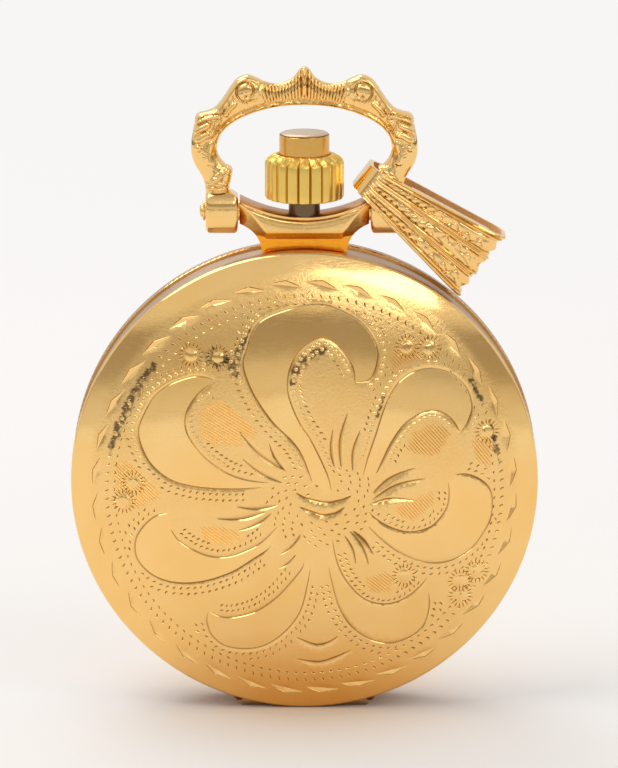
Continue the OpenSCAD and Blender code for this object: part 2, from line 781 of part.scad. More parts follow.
module train_area() {
    difference() {
        intersection() {
            circle(bridge_r);
            polygon([[1.9, 1.6], [5.2, 11], [11, 11], [11, -5.2], [3, -5.2], [2.6, -1.7], [0.3, -1.7],
                [-1.2, -0.9], [-1.2, 0.9], [0.2, 1.5]]);
        }
        translate(balance_p) circle(balance_r + 0.4);
    }
}

module winding_area() {
    difference() {
        intersection() {
            circle(bridge_r);
            polygon([[1.7, 1.75], [4.95, 11], [-11, 11], [-11, -3.6], [-4.2, -3.6], [-2.2, -1.9],
                [-1.35, -1], [-1.35, 1], [0.1, 1.65]]);
        }
        translate(balance_p) circle(balance_r + 0.4);
    }
}

module foot(p, r, from) {
    translate(p) disc(r, from, plate_back);
}

module main_plate() {
    color(gilt) upright() difference() {
        disc(movement_r, plate_back, plate_front);
        // recess for the motion work under the dial
        disc(hour_m * hour_n / 2 + 0.5, recess_floor, plate_front + 1);
        translate(minute_p) disc(cannon_m * minute_n / 2 + 0.35, recess_floor, plate_front + 1);
        // window for the stem, its pinion and the clutch
        rod(stem_d / 2 + 0.06, stem_foot - 0.1, movement_r + 1);
        translate([-1.1, stem_foot + 0.75, -1]) cube([2.2, winding_y + winding_w + 0.1 - stem_foot - 0.75, 3]);
        // pocket for the setting lever and its screw
        translate([-0.35, peg_y - 0.35, plate_front - lever_t - run_gap - 0.03])
            cube([lever_p[0] + 0.9, pull_travel + 0.75, 1]);
        translate([-0.35, peg_y - 0.35, 0]) cube([0.7, pull_travel + 0.75, 2]);
        translate(lever_p) disc(0.2, -1, 2);
        // holes for arbors
        for (p = [third_p, escape_p, balance_p, pallet_p, barrel_p]) translate(p) disc(pivot_r + fit, -1, 2);
        disc(arbor_r + fit, -1, 2);
        translate(fourth_p) disc(arbor_r + fit, -1, 2);
        translate(minute_p) disc(pivot_r + 0.03, recess_floor - 0.2, 2);
        // sink for the barrel
        translate(barrel_p) disc(barrel_m * barrel_n / 2 + 0.2, -1, plate_back + 0.2);
        for (a = case_screw_a) rotate(a) translate([case_screw_r, 0, 0]) disc(screw_r, -1, plate_back + plate_t * 0.7);
        for (p = concat(bridge_feet, train_feet, [cock_foot, pallet_foot]))
            translate(p) disc(screw_r, plate_back - 0.1, plate_back + 0.6);
    }
}

module bridge_holes(points, r) {
    for (p = points) translate(p) disc(r, bridge_out - 1, bridge_in + 2);
}

module barrel_bridge() {
    color(nickel) upright() difference() {
        union() {
            translate([0, 0, bridge_out]) linear_extrude(bridge_t) winding_area();
            for (p = bridge_feet) foot(p, foot_r, bridge_in - 0.1);
        }
        translate(barrel_p) disc(0.5 + fit, bridge_out - 1, bridge_in + 1);
        translate(crown_wheel_p) disc(crown_hub_r + fit, bridge_out - 1, bridge_in + 1);
        bridge_holes([for (p = bridge_feet) p], screw_r);
        translate(click_p) disc(screw_r, bridge_out - 1, bridge_in + 1);
        rod(stem_d / 2 + 0.06, stem_foot - 0.1, movement_r + 1);
    }
}

module train_bridge() {
    color(nickel) upright() difference() {
        union() {
            translate([0, 0, bridge_out]) linear_extrude(bridge_t) train_area();
            for (p = train_feet) foot(p, foot_r, bridge_in - 0.1);
        }
        for (p = [third_p, fourth_p, escape_p, centre_p]) translate(p) disc(jewel_r, bridge_out - 1, bridge_in + 1);
        bridge_holes(train_feet, screw_r);
    }
}

module arm(p, q, w0, w1, z, t) {
    a = away(p, q);
    translate([0, 0, z - t]) linear_extrude(t)
        polygon([p + polar(w0 - eps, a + 90), q + polar(w1 - eps, a + 90), q + polar(w1 - eps, a - 90),
            p + polar(w0 - eps, a - 90)]);
    translate(p) disc(w0, z, z - t);
    translate(q) disc(w1, z, z - t);
}

module balance_cock() {
    color(nickel) upright() difference() {
        union() {
            arm(cock_foot, balance_p, cock_foot_r, 1, balance_cock_in, balance_cock_t);
            foot(cock_foot, cock_foot_r, balance_cock_in - 0.1);
        }
        translate(balance_p) disc(jewel_r, -clear_z, clear_z);
        translate(cock_foot) disc(screw_r, -clear_z, clear_z);
        translate(stud_p) disc(0.2, -clear_z, clear_z);
    }
}

module pallet_cock() {
    color(nickel) upright() difference() {
        union() {
            arm(pallet_foot, pallet_p, pallet_foot_r, 0.55, cock_in, cock_t);
            foot(pallet_foot, pallet_foot_r, cock_in - 0.05);
        }
        translate(pallet_p) disc(pivot_r + fit, -clear_z, clear_z);
        translate(pallet_foot) disc(screw_r, -clear_z, clear_z);
    }
}

module jewel(p, z, r = jewel_r, t = jewel_t, hole = pivot_r + fit) {
    translate(p) tube(r, hole, z, z + t);
}

module plate_jewels() {
    color(ruby) upright() {
        for (p = [third_p, fourth_p, escape_p]) jewel(p, bridge_in - 0.3);
        jewel(centre_p, bridge_in - 0.3, hole = arbor_r + fit);
        jewel(balance_p, balance_cock_in - 0.25);
    }
}

module cap_jewel() {
    color(ruby) upright() translate(balance_p) disc(jewel_r - 0.05, balance_cock_in - balance_cock_t, balance_cock_in - 0.3);
}

module bridge_screws() {
    color(steel) upright() {
        for (p = concat(bridge_feet, train_feet)) translate(p) {
            slotted_head(screw_head_r, bridge_out, 0.2);
            disc(screw_r, bridge_out, plate_back + 0.6);
        }
        translate(click_p) {
            slotted_head(0.45, winding_z - winding_t - 0.12 - eps, 0.15);
            disc(screw_r, winding_z - winding_t - 0.14, bridge_in - 0.05);
        }
        translate(cock_foot) {
            slotted_head(screw_head_r + 0.1, balance_cock_in - balance_cock_t, 0.2);
            disc(screw_r, balance_cock_in - balance_cock_t, plate_back + 0.6);
        }
        translate(pallet_foot) {
            slotted_head(0.45, cock_in - cock_t, 0.15);
            disc(screw_r, cock_in - cock_t, plate_back + 0.6);
        }
    }
}

module case_screws() {
    color(steel) upright() for (a = case_screw_a) rotate(a) translate([case_screw_r, 0, 0]) {
        slotted_head(case_screw_head, plate_back - ledge_t - eps, 0.25);
        disc(screw_r, plate_back - ledge_t - eps, plate_back + plate_t * 0.7);
    }
}

// Dial side
module dial() {
    sub_r = seconds_len + 0.35;
    color(enamel) upright() difference() {
        disc(dial_r, dial_back, dial_front);
        disc(0.75, 0, clear_z);
        translate(fourth_p) disc(arbor_r + fit, 0, clear_z);
        // sunk seconds ring
        translate(fourth_p) disc(sub_r, dial_front - 0.08, clear_z);
    }
}

module hand(len, w, z, hub, hole, tail = 0.9) {
    difference() {
        union() {
            disc(hub, z, z + hand_t);
            translate([0, 0, z]) linear_extrude(hand_t) polygon([[-tail, -w * 0.35], [-tail, w * 0.35],
                [0, w * 0.5], [len * 0.62, w * 0.28], [len * 0.72, w * 0.95], [len * 0.8, w * 0.28],
                [len, 0.03], [len, -0.03], [len * 0.8, -w * 0.28], [len * 0.72, -w * 0.95],
                [len * 0.62, -w * 0.28], [0, -w * 0.5]]);
        }
        disc(hole, z - 1, z + 1);
    }
}

// The twelve stands opposite the seconds ring; the hands show ten past ten
hour_turn = 180 - 305;
minute_turn = 180 - 60;

module hour_hand() {
    color(blued) upright() rotate(hour_turn) hand(hour_len, 0.42, hour_z, 0.72, 0.5);
}

module minute_hand() {
    color(blued) upright() rotate(minute_turn) hand(minute_len, 0.36, minute_z, 0.55, 0.33, 1.2);
}

module seconds_hand() {
    color(blued) upright() translate(fourth_p) rotate(250) hand(seconds_len, 0.2, seconds_z, 0.28, 0.11, 0.6);
}

module cannon_pinion() {
    color(steel) upright() difference() {
        union() {
            pinion(cannon_n, cannon_m, recess_floor + 0.22, recess_floor + 0.04, off_line(centre_p, minute_p, cannon_n));
            disc(0.36, recess_floor + 0.04, hour_z + 0.1);
            disc(0.33, recess_floor + 0.04, minute_z + 0.14);
        }
        disc(arbor_r, -1, clear_z);
    }
}

module hour_wheel() {
    color(gilt) upright() difference() {
        union() {
            wheel(hour_n, hour_m, plate_front - 0.07, 0.13, on_line(centre_p, minute_p), 3, 0.9, 0.4);
            disc(0.5, plate_front - 0.2, hour_z + 0.1);
        }
        disc(0.36 + side_gap, -1, clear_z);
    }
}

module minute_wheel() {
    color(gilt) upright() translate(minute_p) {
        wheel(minute_n, cannon_m, recess_floor + 0.18, 0.12, on_line(minute_p, centre_p), 3, 0.7, 0.4);
        pinion(minute_pinion_n, hour_m, plate_front - 0.08, recess_floor + 0.18, off_line(minute_p, centre_p, minute_pinion_n));
        disc(pivot_r, recess_floor - 0.2, plate_front - 0.03);
    }
}

// Wheel train
module centre_wheel() {
    a = on_line(centre_p, third_p);
    color(gilt) upright() {
        wheel(centre_n, centre_m, centre_z, wheel_t, a);
        pinion(centre_pinion_n, barrel_m, barrel_top - 0.04, barrel_top - 0.5, off_line(centre_p, barrel_p, centre_pinion_n));
        disc(arbor_r, bridge_in - 0.3, minute_z + 0.1);
        disc(0.4, centre_z - wheel_t - 0.05, barrel_top - 0.9);
    }
}

module third_wheel() {
    color(gilt) upright() translate(third_p) {
        wheel(third_n, third_m, third_z, wheel_t, on_line(third_p, fourth_p));
        pinion(third_pinion_n, centre_m, centre_z + 0.04, centre_z - wheel_t - 0.1, off_line(third_p, centre_p, third_pinion_n));
        disc(arbor_r, centre_z, third_z - 0.25);
        disc(pivot_r, bridge_in - 0.3, plate_front - 0.5);
    }
}

module fourth_wheel() {
    color(gilt) upright() translate(fourth_p) {
        wheel(fourth_n, fourth_m, fourth_z, 0.14, on_line(fourth_p, escape_p));
        pinion(fourth_pinion_n, third_m, third_z + 0.1, third_z - wheel_t - 0.06, off_line(fourth_p, third_p, fourth_pinion_n));
        disc(arbor_r, fourth_z + 0.2, third_z - 0.3);
        disc(pivot_r, bridge_in - 0.3, fourth_z + 0.2);
        disc(0.11, fourth_z + 0.2, seconds_z + hand_t + 0.02);
    }
}

module escape_wheel() {
    n = 15;
    r = 1.5;
    color(gilt) upright() translate(escape_p) {
        translate([0, 0, escape_z - 0.12]) linear_extrude(0.12) difference() {
            polygon([for (i = [0 : n - 1]) for (k = [[0, 1.1], [0.14, r], [0.3, r], [0.42, 1.12]])
                polar(k[1], 360 * (i + k[0]) / n)]);
            windows(4, 0.4, 0.88, 0.2);
        }
        pinion(escape_pinion_n, fourth_m, fourth_z + 0.05, fourth_z - 0.2, off_line(escape_p, fourth_p, escape_pinion_n));
        disc(pivot_r + 0.03, fourth_z, -1.05);
        disc(pivot_r, bridge_in - 0.3, plate_front - 0.5);
    }
}

fork_a = away(pallet_p, balance_p);
roller_r = 0.5;
fork_len = gap_of(pallet_p, balance_p) - roller_r;
pallet_arm = 1;

module pallet_fork() {
    color(steel) upright() translate(pallet_p) {
        translate([0, 0, escape_z - fork_t]) rotate(fork_a) {
            linear_extrude(fork_t) polygon([[0, -0.14], [0, 0.14], [fork_len - 0.35, 0.1],
                [fork_len - 0.2, 0.3], [fork_len + 0.1, 0.3], [fork_len + 0.1, 0.11], [fork_len - 0.15, 0.11],
                [fork_len - 0.15, -0.11], [fork_len + 0.1, -0.11], [fork_len + 0.1, -0.3],
                [fork_len - 0.2, -0.3], [fork_len - 0.35, -0.1]]);
            linear_extrude(fork_t) polygon([[0.15, 0], [-0.3, pallet_arm + 0.1], [-0.55, pallet_arm],
                [-0.2, 0], [-0.55, -pallet_arm], [-0.3, -pallet_arm - 0.1]]);
        }
        disc(0.3, escape_z - fork_t, escape_z);
        disc(pivot_r, cock_in - cock_t, plate_front - 0.5);
    }
}

module pallet_stones() {
    color(ruby) upright() translate(pallet_p) rotate(fork_a) for (s = [-1, 1])
        translate([-0.44, s * pallet_arm, escape_z]) rotate(s * 12) translate([-0.2, -0.09, 0]) cube([0.3, 0.18, 0.1]);
}

module balance_wheel() {
    color(gilt) upright() translate(balance_p) {
        tube(balance_r - 0.12, balance_r - 0.5, balance_z, balance_z - balance_t);
        translate([0, 0, balance_z - 0.12]) rotate(35) cube([2 * balance_r - 0.8, 0.4, 0.16], center = true);
        disc(0.6, balance_z - 0.04, balance_z - 0.2);
        disc(arbor_r, -1.05, spring_z - spring_h - 0.1);
        disc(pivot_r, balance_cock_in - 0.25, plate_front - 0.5);
    }
}

balance_screw_count = 12;

module balance_screws() {
    color(gold) upright() translate(concat(balance_p, balance_z - balance_t / 2))
        for (i = [0 : balance_screw_count - 1]) rotate(35 + 360 * (i + 0.5) / balance_screw_count)
            cross_rod(0.12, balance_r - 0.12, balance_r);
}

module balance_roller() {
    color(steel) upright() translate(balance_p) {
        tube(0.75, arbor_r, -1.08, -1.02);
        rotate(fork_a + 180) translate([roller_r, 0, 0]) disc(0.09, escape_z + 0.05, -1.02);
    }
}

stud_p = balance_p + polar(2.1, 150);

module hairspring() {
    color(blued) upright() translate(concat(balance_p, spring_z - spring_h)) {
        linear_extrude(spring_h) spiral(0.35, 2, 7, 0.07);
        tube(0.4, arbor_r, 0, spring_h);
    }
}

module regulator() {
    color(steel) upright() difference() {
        arm(balance_p, balance_p + polar(2.6, 100), 0.75, 0.16, balance_cock_in - balance_cock_t - 0.02, 0.14);
        translate(balance_p) disc(0.45, -clear_z, clear_z);
    }
}

// Mainspring barrel and winding wheels
module barrel() {
    drum = barrel_m * (barrel_n / 2 - 1.2) - 0.25;
    bottom = barrel_top - barrel_h;
    color(gilt) upright() translate(barrel_p) difference() {
        union() {
            translate([0, 0, barrel_top - barrel_teeth_t]) linear_extrude(barrel_teeth_t)
                teeth(barrel_n, barrel_m, turn = on_line(barrel_p, centre_p));
            disc(drum, barrel_top, bottom);
        }
        disc(drum - 0.25, barrel_top - 0.18, bottom + 0.18);
        disc(0.5 + fit, -clear_z, clear_z);
    }
}

module mainspring() {
    drum = barrel_m * (barrel_n / 2 - 1.2) - 0.55;
    height = barrel_h - 0.46;
    color(steel) upright() translate(concat(barrel_p, barrel_top - 0.23 - height))
        linear_extrude(height) spiral(1.2, drum - 0.1, 6, 0.16, 16);
}

module barrel_arbor() {
    color(steel) upright() translate(barrel_p) {
        disc(0.5, barrel_top + 0.1, winding_z - 0.02);
        disc(1.1, barrel_top - 0.25, barrel_top - barrel_h + 0.25);
        disc(pivot_r, barrel_top, plate_front - 0.5);
    }
}

module ratchet_wheel() {
    color(steel) upright() translate(barrel_p) difference() {
        translate([0, 0, winding_z - winding_t]) linear_extrude(winding_t)
            teeth(ratchet_n, winding_m, 0.3, 0.08, on_line(barrel_p, crown_wheel_p));
        disc(0.5, winding_z - 0.02, clear_z);
        disc(screw_r, -clear_z, clear_z);
    }
}

module crown_wheel() {
    color(steel) upright() translate(crown_wheel_p) difference() {
        translate([0, 0, winding_z - winding_t]) linear_extrude(winding_t)
            teeth(crown_wheel_n, winding_m, 0.3, 0.08, off_line(crown_wheel_p, barrel_p, crown_wheel_n));
        disc(screw_r, -clear_z, clear_z);
    }
}

// Lower wheel under the bridge, which the winding pinion drives; its hub turns in the bridge
module contrate_wheel() {
    color(steel) upright() translate(crown_wheel_p) difference() {
        union() {
            translate([0, 0, -winding_r - 0.04 - contrate_t]) linear_extrude(contrate_t)
                teeth(crown_wheel_n, 2 * contrate_r / (crown_wheel_n + 1.7), 0.28, 0.12);
            disc(crown_hub_r, -winding_r - 0.1, winding_z);
        }
        disc(screw_r, -clear_z, clear_z);
    }
}

module crown_wheel_screw() {
    color(steel) upright() translate(crown_wheel_p) {
        slotted_head(0.9, winding_z - winding_t, 0.2);
        disc(screw_r, winding_z - winding_t, -winding_r - 0.1);
    }
}

module ratchet_screw() {
    color(steel) upright() translate(barrel_p) {
        slotted_head(1.1, winding_z - winding_t, 0.2);
        disc(screw_r, winding_z - winding_t, winding_z - 0.02);
    }
}

click_room = 1.45;
click_p = barrel_p + polar(winding_m * (ratchet_n / 2 + 1) + click_room, 80.3);
module click() {
    a = away(click_p, barrel_p);
    reach = gap_of(click_p, barrel_p) - winding_m * (ratchet_n / 2 + 0.85) - side_gap;
    color(steel) upright() difference() {
        union() {
            translate([0, 0, winding_z - winding_t]) linear_extrude(winding_t) polygon([
                click_p + polar(0.6, a + 90), click_p + polar(reach, a + 18), click_p + polar(reach, a - 2),
                click_p + polar(0.6, a - 90), click_p + polar(0.75, a + 180)]);
            translate(click_p) disc(0.45, winding_z, winding_z - winding_t - 0.12);
        }
        translate(click_p) disc(screw_r + side_gap, -clear_z, clear_z);
    }
}

module click_spring() {
    color(steel) upright() translate([0, 0, bridge_out - 0.16]) linear_extrude(0.16) difference() {
        translate(click_p) circle(1.5);
        translate(click_p) circle(1.36);
        translate(click_p) rotate(-20) square([4, 4]);
        translate(click_p + [-1, -3]) square([4, 3]);
    }
}

module winding_pinion() {
    color(steel) upright() rotate([-90, 0, 0]) translate([0, 0, winding_y]) linear_extrude(winding_w) difference() {
        teeth(12, 2 * winding_r / 14, 0.24, 0.12);
        circle(stem_d / 2 + 0.04);
    }
}

module clutch() {
    color(steel) upright() difference() {
        rod(0.85, winding_y - clutch_w - 0.06, winding_y - 0.06);
        rod(clutch_bore, winding_y - 2, winding_y);
    }
}

// Setting lever: it swings about lever_p, and its peg sits in the stem's groove
module setting_lever() {
    peg_p = [0, peg_y];
    color(steel) upright() difference() {
        union() {
            arm(lever_p, peg_p, 0.42, 0.26, plate_front - run_gap, lever_t);
            translate(peg_p) disc(peg_r, groove_core_r + 0.04, plate_front - 0.2);
        }
        translate(lever_p) disc(0.2, -clear_z, clear_z);
    }
}

module lever_screw() {
    color(steel) upright() translate(lever_p) {
        disc(0.2 - fit, plate_front - 0.6, plate_front - run_gap);
        disc(0.2, plate_front - 0.9, plate_front - lever_t - run_gap - 0.02);
    }
}

case_band();
pendant();
front_hinge_pin();
rear_hinge_pin();
bezel();
crystal();
front_cover();
rear_cover();
lock_spring();
lift_spring();
spring_screws();
stem_sleeve();
crown();
crown_button();
winding_stem();
bow();
bow_screws();
bail();
main_plate();
dial();
hour_hand();
minute_hand();
seconds_hand();
cannon_pinion();
hour_wheel();
minute_wheel();
centre_wheel();
third_wheel();
fourth_wheel();
escape_wheel();
pallet_fork();
pallet_stones();
balance_wheel();
balance_screws();
balance_roller();
hairspring();
balance_cock();
regulator();
cap_jewel();
barrel();
mainspring();
barrel_arbor();
ratchet_wheel();
crown_wheel();
contrate_wheel();
crown_wheel_screw();
ratchet_screw();
click();
click_spring();
barrel_bridge();
train_bridge();
pallet_cock();
plate_jewels();
bridge_screws();
winding_pinion();
clutch();
setting_lever();
lever_screw();
case_screws();
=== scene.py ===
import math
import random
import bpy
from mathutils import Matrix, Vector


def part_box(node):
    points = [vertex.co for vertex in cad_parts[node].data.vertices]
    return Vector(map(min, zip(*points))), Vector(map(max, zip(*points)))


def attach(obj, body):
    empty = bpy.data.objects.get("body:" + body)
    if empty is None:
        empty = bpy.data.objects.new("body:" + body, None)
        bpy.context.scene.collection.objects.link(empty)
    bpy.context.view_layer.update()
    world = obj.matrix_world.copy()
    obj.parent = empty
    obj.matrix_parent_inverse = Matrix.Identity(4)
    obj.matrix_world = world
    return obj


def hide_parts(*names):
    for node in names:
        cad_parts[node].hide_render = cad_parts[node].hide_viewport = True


bl_info = {
    "name": "Full hunter pocket watch",
    "version": (1, 0, 0),
    "blender": (4, 5, 0),
    "location": "3D View > Sidebar > Watch",
    "description": "Engraved covers, cast bow, bail, crown, dial and finishes on a packed pocket watch",
    "category": "Add Mesh",
}

import bmesh
import bpy
import numpy as np
from bpy.props import FloatProperty, FloatVectorProperty, IntProperty, PointerProperty
from mathutils import Matrix, Vector, geometry

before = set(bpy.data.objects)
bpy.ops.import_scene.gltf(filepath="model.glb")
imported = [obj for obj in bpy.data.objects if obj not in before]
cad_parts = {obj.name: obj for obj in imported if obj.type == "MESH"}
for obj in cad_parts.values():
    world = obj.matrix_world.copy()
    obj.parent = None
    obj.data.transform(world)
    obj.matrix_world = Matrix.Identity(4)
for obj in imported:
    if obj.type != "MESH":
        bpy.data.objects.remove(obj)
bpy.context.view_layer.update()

MM = 0.001
CASE_LOW, CASE_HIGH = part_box("front_cover")
CASE_R = CASE_HIGH.x / MM
CASE_Z = CASE_HIGH.z / MM - CASE_R
DOME_Z = -CASE_LOW.y / MM
BAND_R = 14.3
BAND_Z = 1.43
RIM_Z = 2.15
COVER_WALL = 13.75

# The dial frame has x to the right, y towards the pendant and z towards the viewer, in millimetres
TO_CASE = Matrix.Translation((0, 0, CASE_Z * MM))
DIAL_FRAME = TO_CASE @ Matrix.Rotation(math.pi / 2, 4, "X") @ Matrix.Scale(MM, 4)
# The upright frame has the same middle, with z up through the pendant
STAND = TO_CASE @ Matrix.Scale(MM, 4)


# Selection and modelling helpers


def deselect():
    if bpy.context.object and bpy.context.object.mode != "OBJECT":
        bpy.ops.object.mode_set(mode="OBJECT")
    bpy.ops.object.select_all(action="DESELECT")


def pick(*objects):
    deselect()
    for o in objects:
        o.select_set(True)
    bpy.context.view_layer.objects.active = objects[0]


def named(name):
    o = bpy.context.object
    o.name = name
    o.data.name = name
    return o


def mesh_object(name, points, edges=(), faces=()):
    data = bpy.data.meshes.new(name)
    data.from_pydata([tuple(p) for p in points], list(edges), list(faces))
    data.update()
    o = bpy.data.objects.new(name, data)
    bpy.context.scene.collection.objects.link(o)
    pick(o)
    return o


def turned(name, outline, steps=128):
    """A body turned about its own z axis from an outline of (radius, height) points."""
    points = [(r, 0, h) for r, h in outline]
    o = mesh_object(name, points, [(i, i + 1) for i in range(len(points) - 1)])
    bpy.ops.object.mode_set(mode="EDIT")
    bpy.ops.mesh.select_all(action="SELECT")
    bpy.ops.mesh.spin(steps=steps, angle=2 * math.pi, center=(0, 0, 0), axis=(0, 0, 1))
    bpy.ops.mesh.select_all(action="SELECT")
    bpy.ops.mesh.remove_doubles(threshold=1e-5)
    bpy.ops.mesh.normals_make_consistent(inside=False)
    bpy.ops.object.mode_set(mode="OBJECT")
    return o


def apply_modifiers(o):
    pick(o)
    for m in list(o.modifiers):
        bpy.ops.object.modifier_apply(modifier=m.name)
    return o


def bevel(o, width, segments=2, angle=30):
    m = o.modifiers.new("Bevel", "BEVEL")
    m.width = width
    m.segments = segments
    m.limit_method = "ANGLE"
    m.angle_limit = math.radians(angle)
    return apply_modifiers(o)


def smooth(o, angle=30):
    pick(o)
    bpy.ops.object.shade_smooth_by_angle(angle=math.radians(angle))
    return o


def place(o, matrix):
    """Moves a finished piece to its place, with the place in its mesh."""
    pick(o)
    o.data.transform(matrix)
    if matrix.to_3x3().determinant() < 0:
        o.data.flip_normals()
    o.data.update()
    return o


def joined(name, pieces):
    pick(*pieces)
    if len(pieces) > 1:
        bpy.ops.object.join()
    return named(name)


def block(size, place_at):
    """A box of the given size round its middle."""
    deselect()
    bpy.ops.mesh.primitive_cube_add(size=1, location=place_at)
    o = bpy.context.object
    o.scale = size
    bpy.ops.object.transform_apply()
    return o


def rod(radius, length, place_at, rotation=(0, math.pi / 2, 0), sides=48):
    """A cylinder round its middle, along the x axis unless it is turned otherwise."""
    deselect()
    bpy.ops.mesh.primitive_cylinder_add(vertices=sides, radius=radius, depth=length, location=place_at,
                                        rotation=rotation)
    o = bpy.context.object
    bpy.ops.object.transform_apply()
    return o


def carve(o, tool):
    """Cuts the tool out of a piece and takes the tool away."""
    m = o.modifiers.new("Carve", "BOOLEAN")
    m.object = tool
    m.operation = "DIFFERENCE"
    apply_modifiers(o)
    bpy.data.objects.remove(tool)


def face_outwards():
    """Turns the faces of the active object outwards."""
    bpy.ops.object.mode_set(mode="EDIT")
    bpy.ops.mesh.select_all(action="SELECT")
    bpy.ops.mesh.normals_make_consistent(inside=False)
    bpy.ops.object.mode_set(mode="OBJECT")


def circle(radius, count):
    """Points evenly round a circle."""
    angles = [2 * math.pi * k / count for k in range(count)]
    return [(radius * math.cos(a), radius * math.sin(a)) for a in angles]


# Smooth paths


def smoothed(points, steps, before=None):
    """A smooth curve through the points with the same number of steps in every span."""
    pts = [np.array(p, float) for p in points]
    if before is None:
        before = 2 * pts[0] - pts[1]
    pts = [before, *pts, 2 * pts[-1] - pts[-2]]
    row = []
    for p0, p1, p2, p3 in zip(pts, pts[1:], pts[2:], pts[3:]):
        for k in range(steps):
            t = k / steps
            row.append(0.5 * (2 * p1 + (p2 - p0) * t + (2 * p0 - 5 * p1 + 4 * p2 - p3) * t * t
                              + (3 * p1 - p0 - 3 * p2 + p3) * t ** 3))
    return np.array(row + [pts[-2]])


def lengths_along(path):
    """How far along a path each of its points lies."""
    return np.concatenate([[0], np.cumsum(np.linalg.norm(np.diff(path, axis=0), axis=1))])


def through(points, step):
    """Evenly stepped points on a smooth curve through the given ones."""
    dense = smoothed(points, 12)
    lengths = lengths_along(dense)
    count = max(2, int(round(lengths[-1] / step)) + 1)
    at = np.linspace(0, lengths[-1], count)
    return np.stack([np.interp(at, lengths, column) for column in dense.T], axis=1)


def tangents(path):
    """The unit directions of a path, and those to its left."""
    along = np.gradient(path, axis=0)
    along /= np.maximum(np.linalg.norm(along, axis=1), 1e-9)[:, None]
    return along, np.stack([-along[:, 1], along[:, 0]], axis=1)


def signed_area(outline):
    """The area inside an outline, negative when it runs clockwise."""
    p = np.array(outline)
    q = np.roll(p, -1, axis=0)
    return 0.5 * np.sum(p[:, 0] * q[:, 1] - q[:, 0] * p[:, 1])


def inside(polygon, points):
    """Which of the points lie in the polygon."""
    x, y = points[:, 0], points[:, 1]
    result = np.zeros(len(points), bool)
    ax, ay = polygon[-1]
    for bx, by in polygon:
        crosses = (ay > y) != (by > y)
        with np.errstate(divide="ignore", invalid="ignore"):
            at = (bx - ax) * (y - ay) / (by - ay) + ax
        result ^= crosses & (x < at)
        ax, ay = bx, by
    return result


def distance_to(path, points):
    """Distance from each point to a path."""
    best = np.full(len(points), 1e9)
    for a, b in zip(path[:-1], path[1:]):
        d = b - a
        t = np.clip(((points - a) @ d) / max(d @ d, 1e-12), 0, 1)
        best = np.minimum(best, np.linalg.norm(points - (a + t[:, None] * d), axis=1))
    return best


# Engraving: cuts with a graver, and pits and beads from punches


class Engraving:
    """Cuts and punch marks on a flat plan, which engraved_faces turns into a mesh."""

    def __init__(self, limit):
        self.limit = limit
        self.cuts = []
        self.marks = []
        self.spots = []

    def cut(self, path, width, depth, taper=(1.2, 1.2), lean=0.25, power=0.5, dirt=0.6):
        """A tapered V cut along a path. lean moves its deepest line towards the left edge."""
        path = np.array(path, float)
        path = path[self.limit(path)]
        if len(path) < 3:
            return
        along = lengths_along(path)
        start = np.clip(along / taper[0], 0, 1)
        end = np.clip((along[-1] - along) / taper[1], 0, 1)
        half = 0.5 * width * np.clip(start * end, 0, 1) ** power
        half[0] = half[-1] = 0
        deep = depth * half / (0.5 * width)
        self.cuts.append((path, tangents(path)[1], half, deep, lean, dirt))

    def bead(self, at, size, height, sides=9):
        """A small dome."""
        turn = np.arange(sides) * 2 * math.pi / sides
        outline = np.array(at) + size * np.stack([np.cos(turn), np.sin(turn)], axis=1)
        if self.limit(outline).all():
            self.marks.append((outline, np.array(at, float), height))

    def comma(self, at, angle, length=0.3, width=0.13, depth=0.045, dirt=1):
        """A short curved stroke of a punch."""
        t = np.linspace(-0.5, 0.5, 5)
        along, across = length * t, length * (0.25 - t * t)
        c, s = math.cos(angle), math.sin(angle)
        path = np.stack([at[0] + c * along - s * across, at[1] + s * along + c * across], axis=1)
        self.cut(path, width, depth, (length / 3, length / 3), 0.2, 0.7, dirt)
        self.spots.append(at)

    def hatch(self, region, angle, dirt, spacing=0.165, width=0.06, depth=0.035):
        """Fine parallel lines over a region, a little short of its edge."""
        region = np.array(region, float)
        along = np.array([math.cos(angle), math.sin(angle)])
        across = np.array([-along[1], along[0]])
        middle = region.mean(axis=0)
        reach = np.linalg.norm(region - middle, axis=1).max()
        for k in range(-int(reach / spacing), int(reach / spacing) + 1):
            t = np.arange(-reach, reach, 0.2)
            row = middle + k * spacing * across + t[:, None] * along
            keep = inside(region, row)
            run = []
            for point, good in list(zip(row, keep)) + [(None, False)]:
                if good:
                    run.append(point)
                    continue
                if len(run) > 3:
                    self.cut(run, width, depth, (0.5, 0.5), 0, dirt=dirt)
                run = []

    def occupied(self, point, room):
        """Whether a mark near the point would touch what is cut already."""
        for path, _, half, *_ in self.cuts:
            if len(path) > 5 and np.min(np.linalg.norm(path - point, axis=1) - half) < room:
                return True
        spots = self.spots + [middle for _, middle, _ in self.marks]
        return len(spots) > 0 and np.min(np.linalg.norm(np.array(spots) - point, axis=1)) < room + 0.12


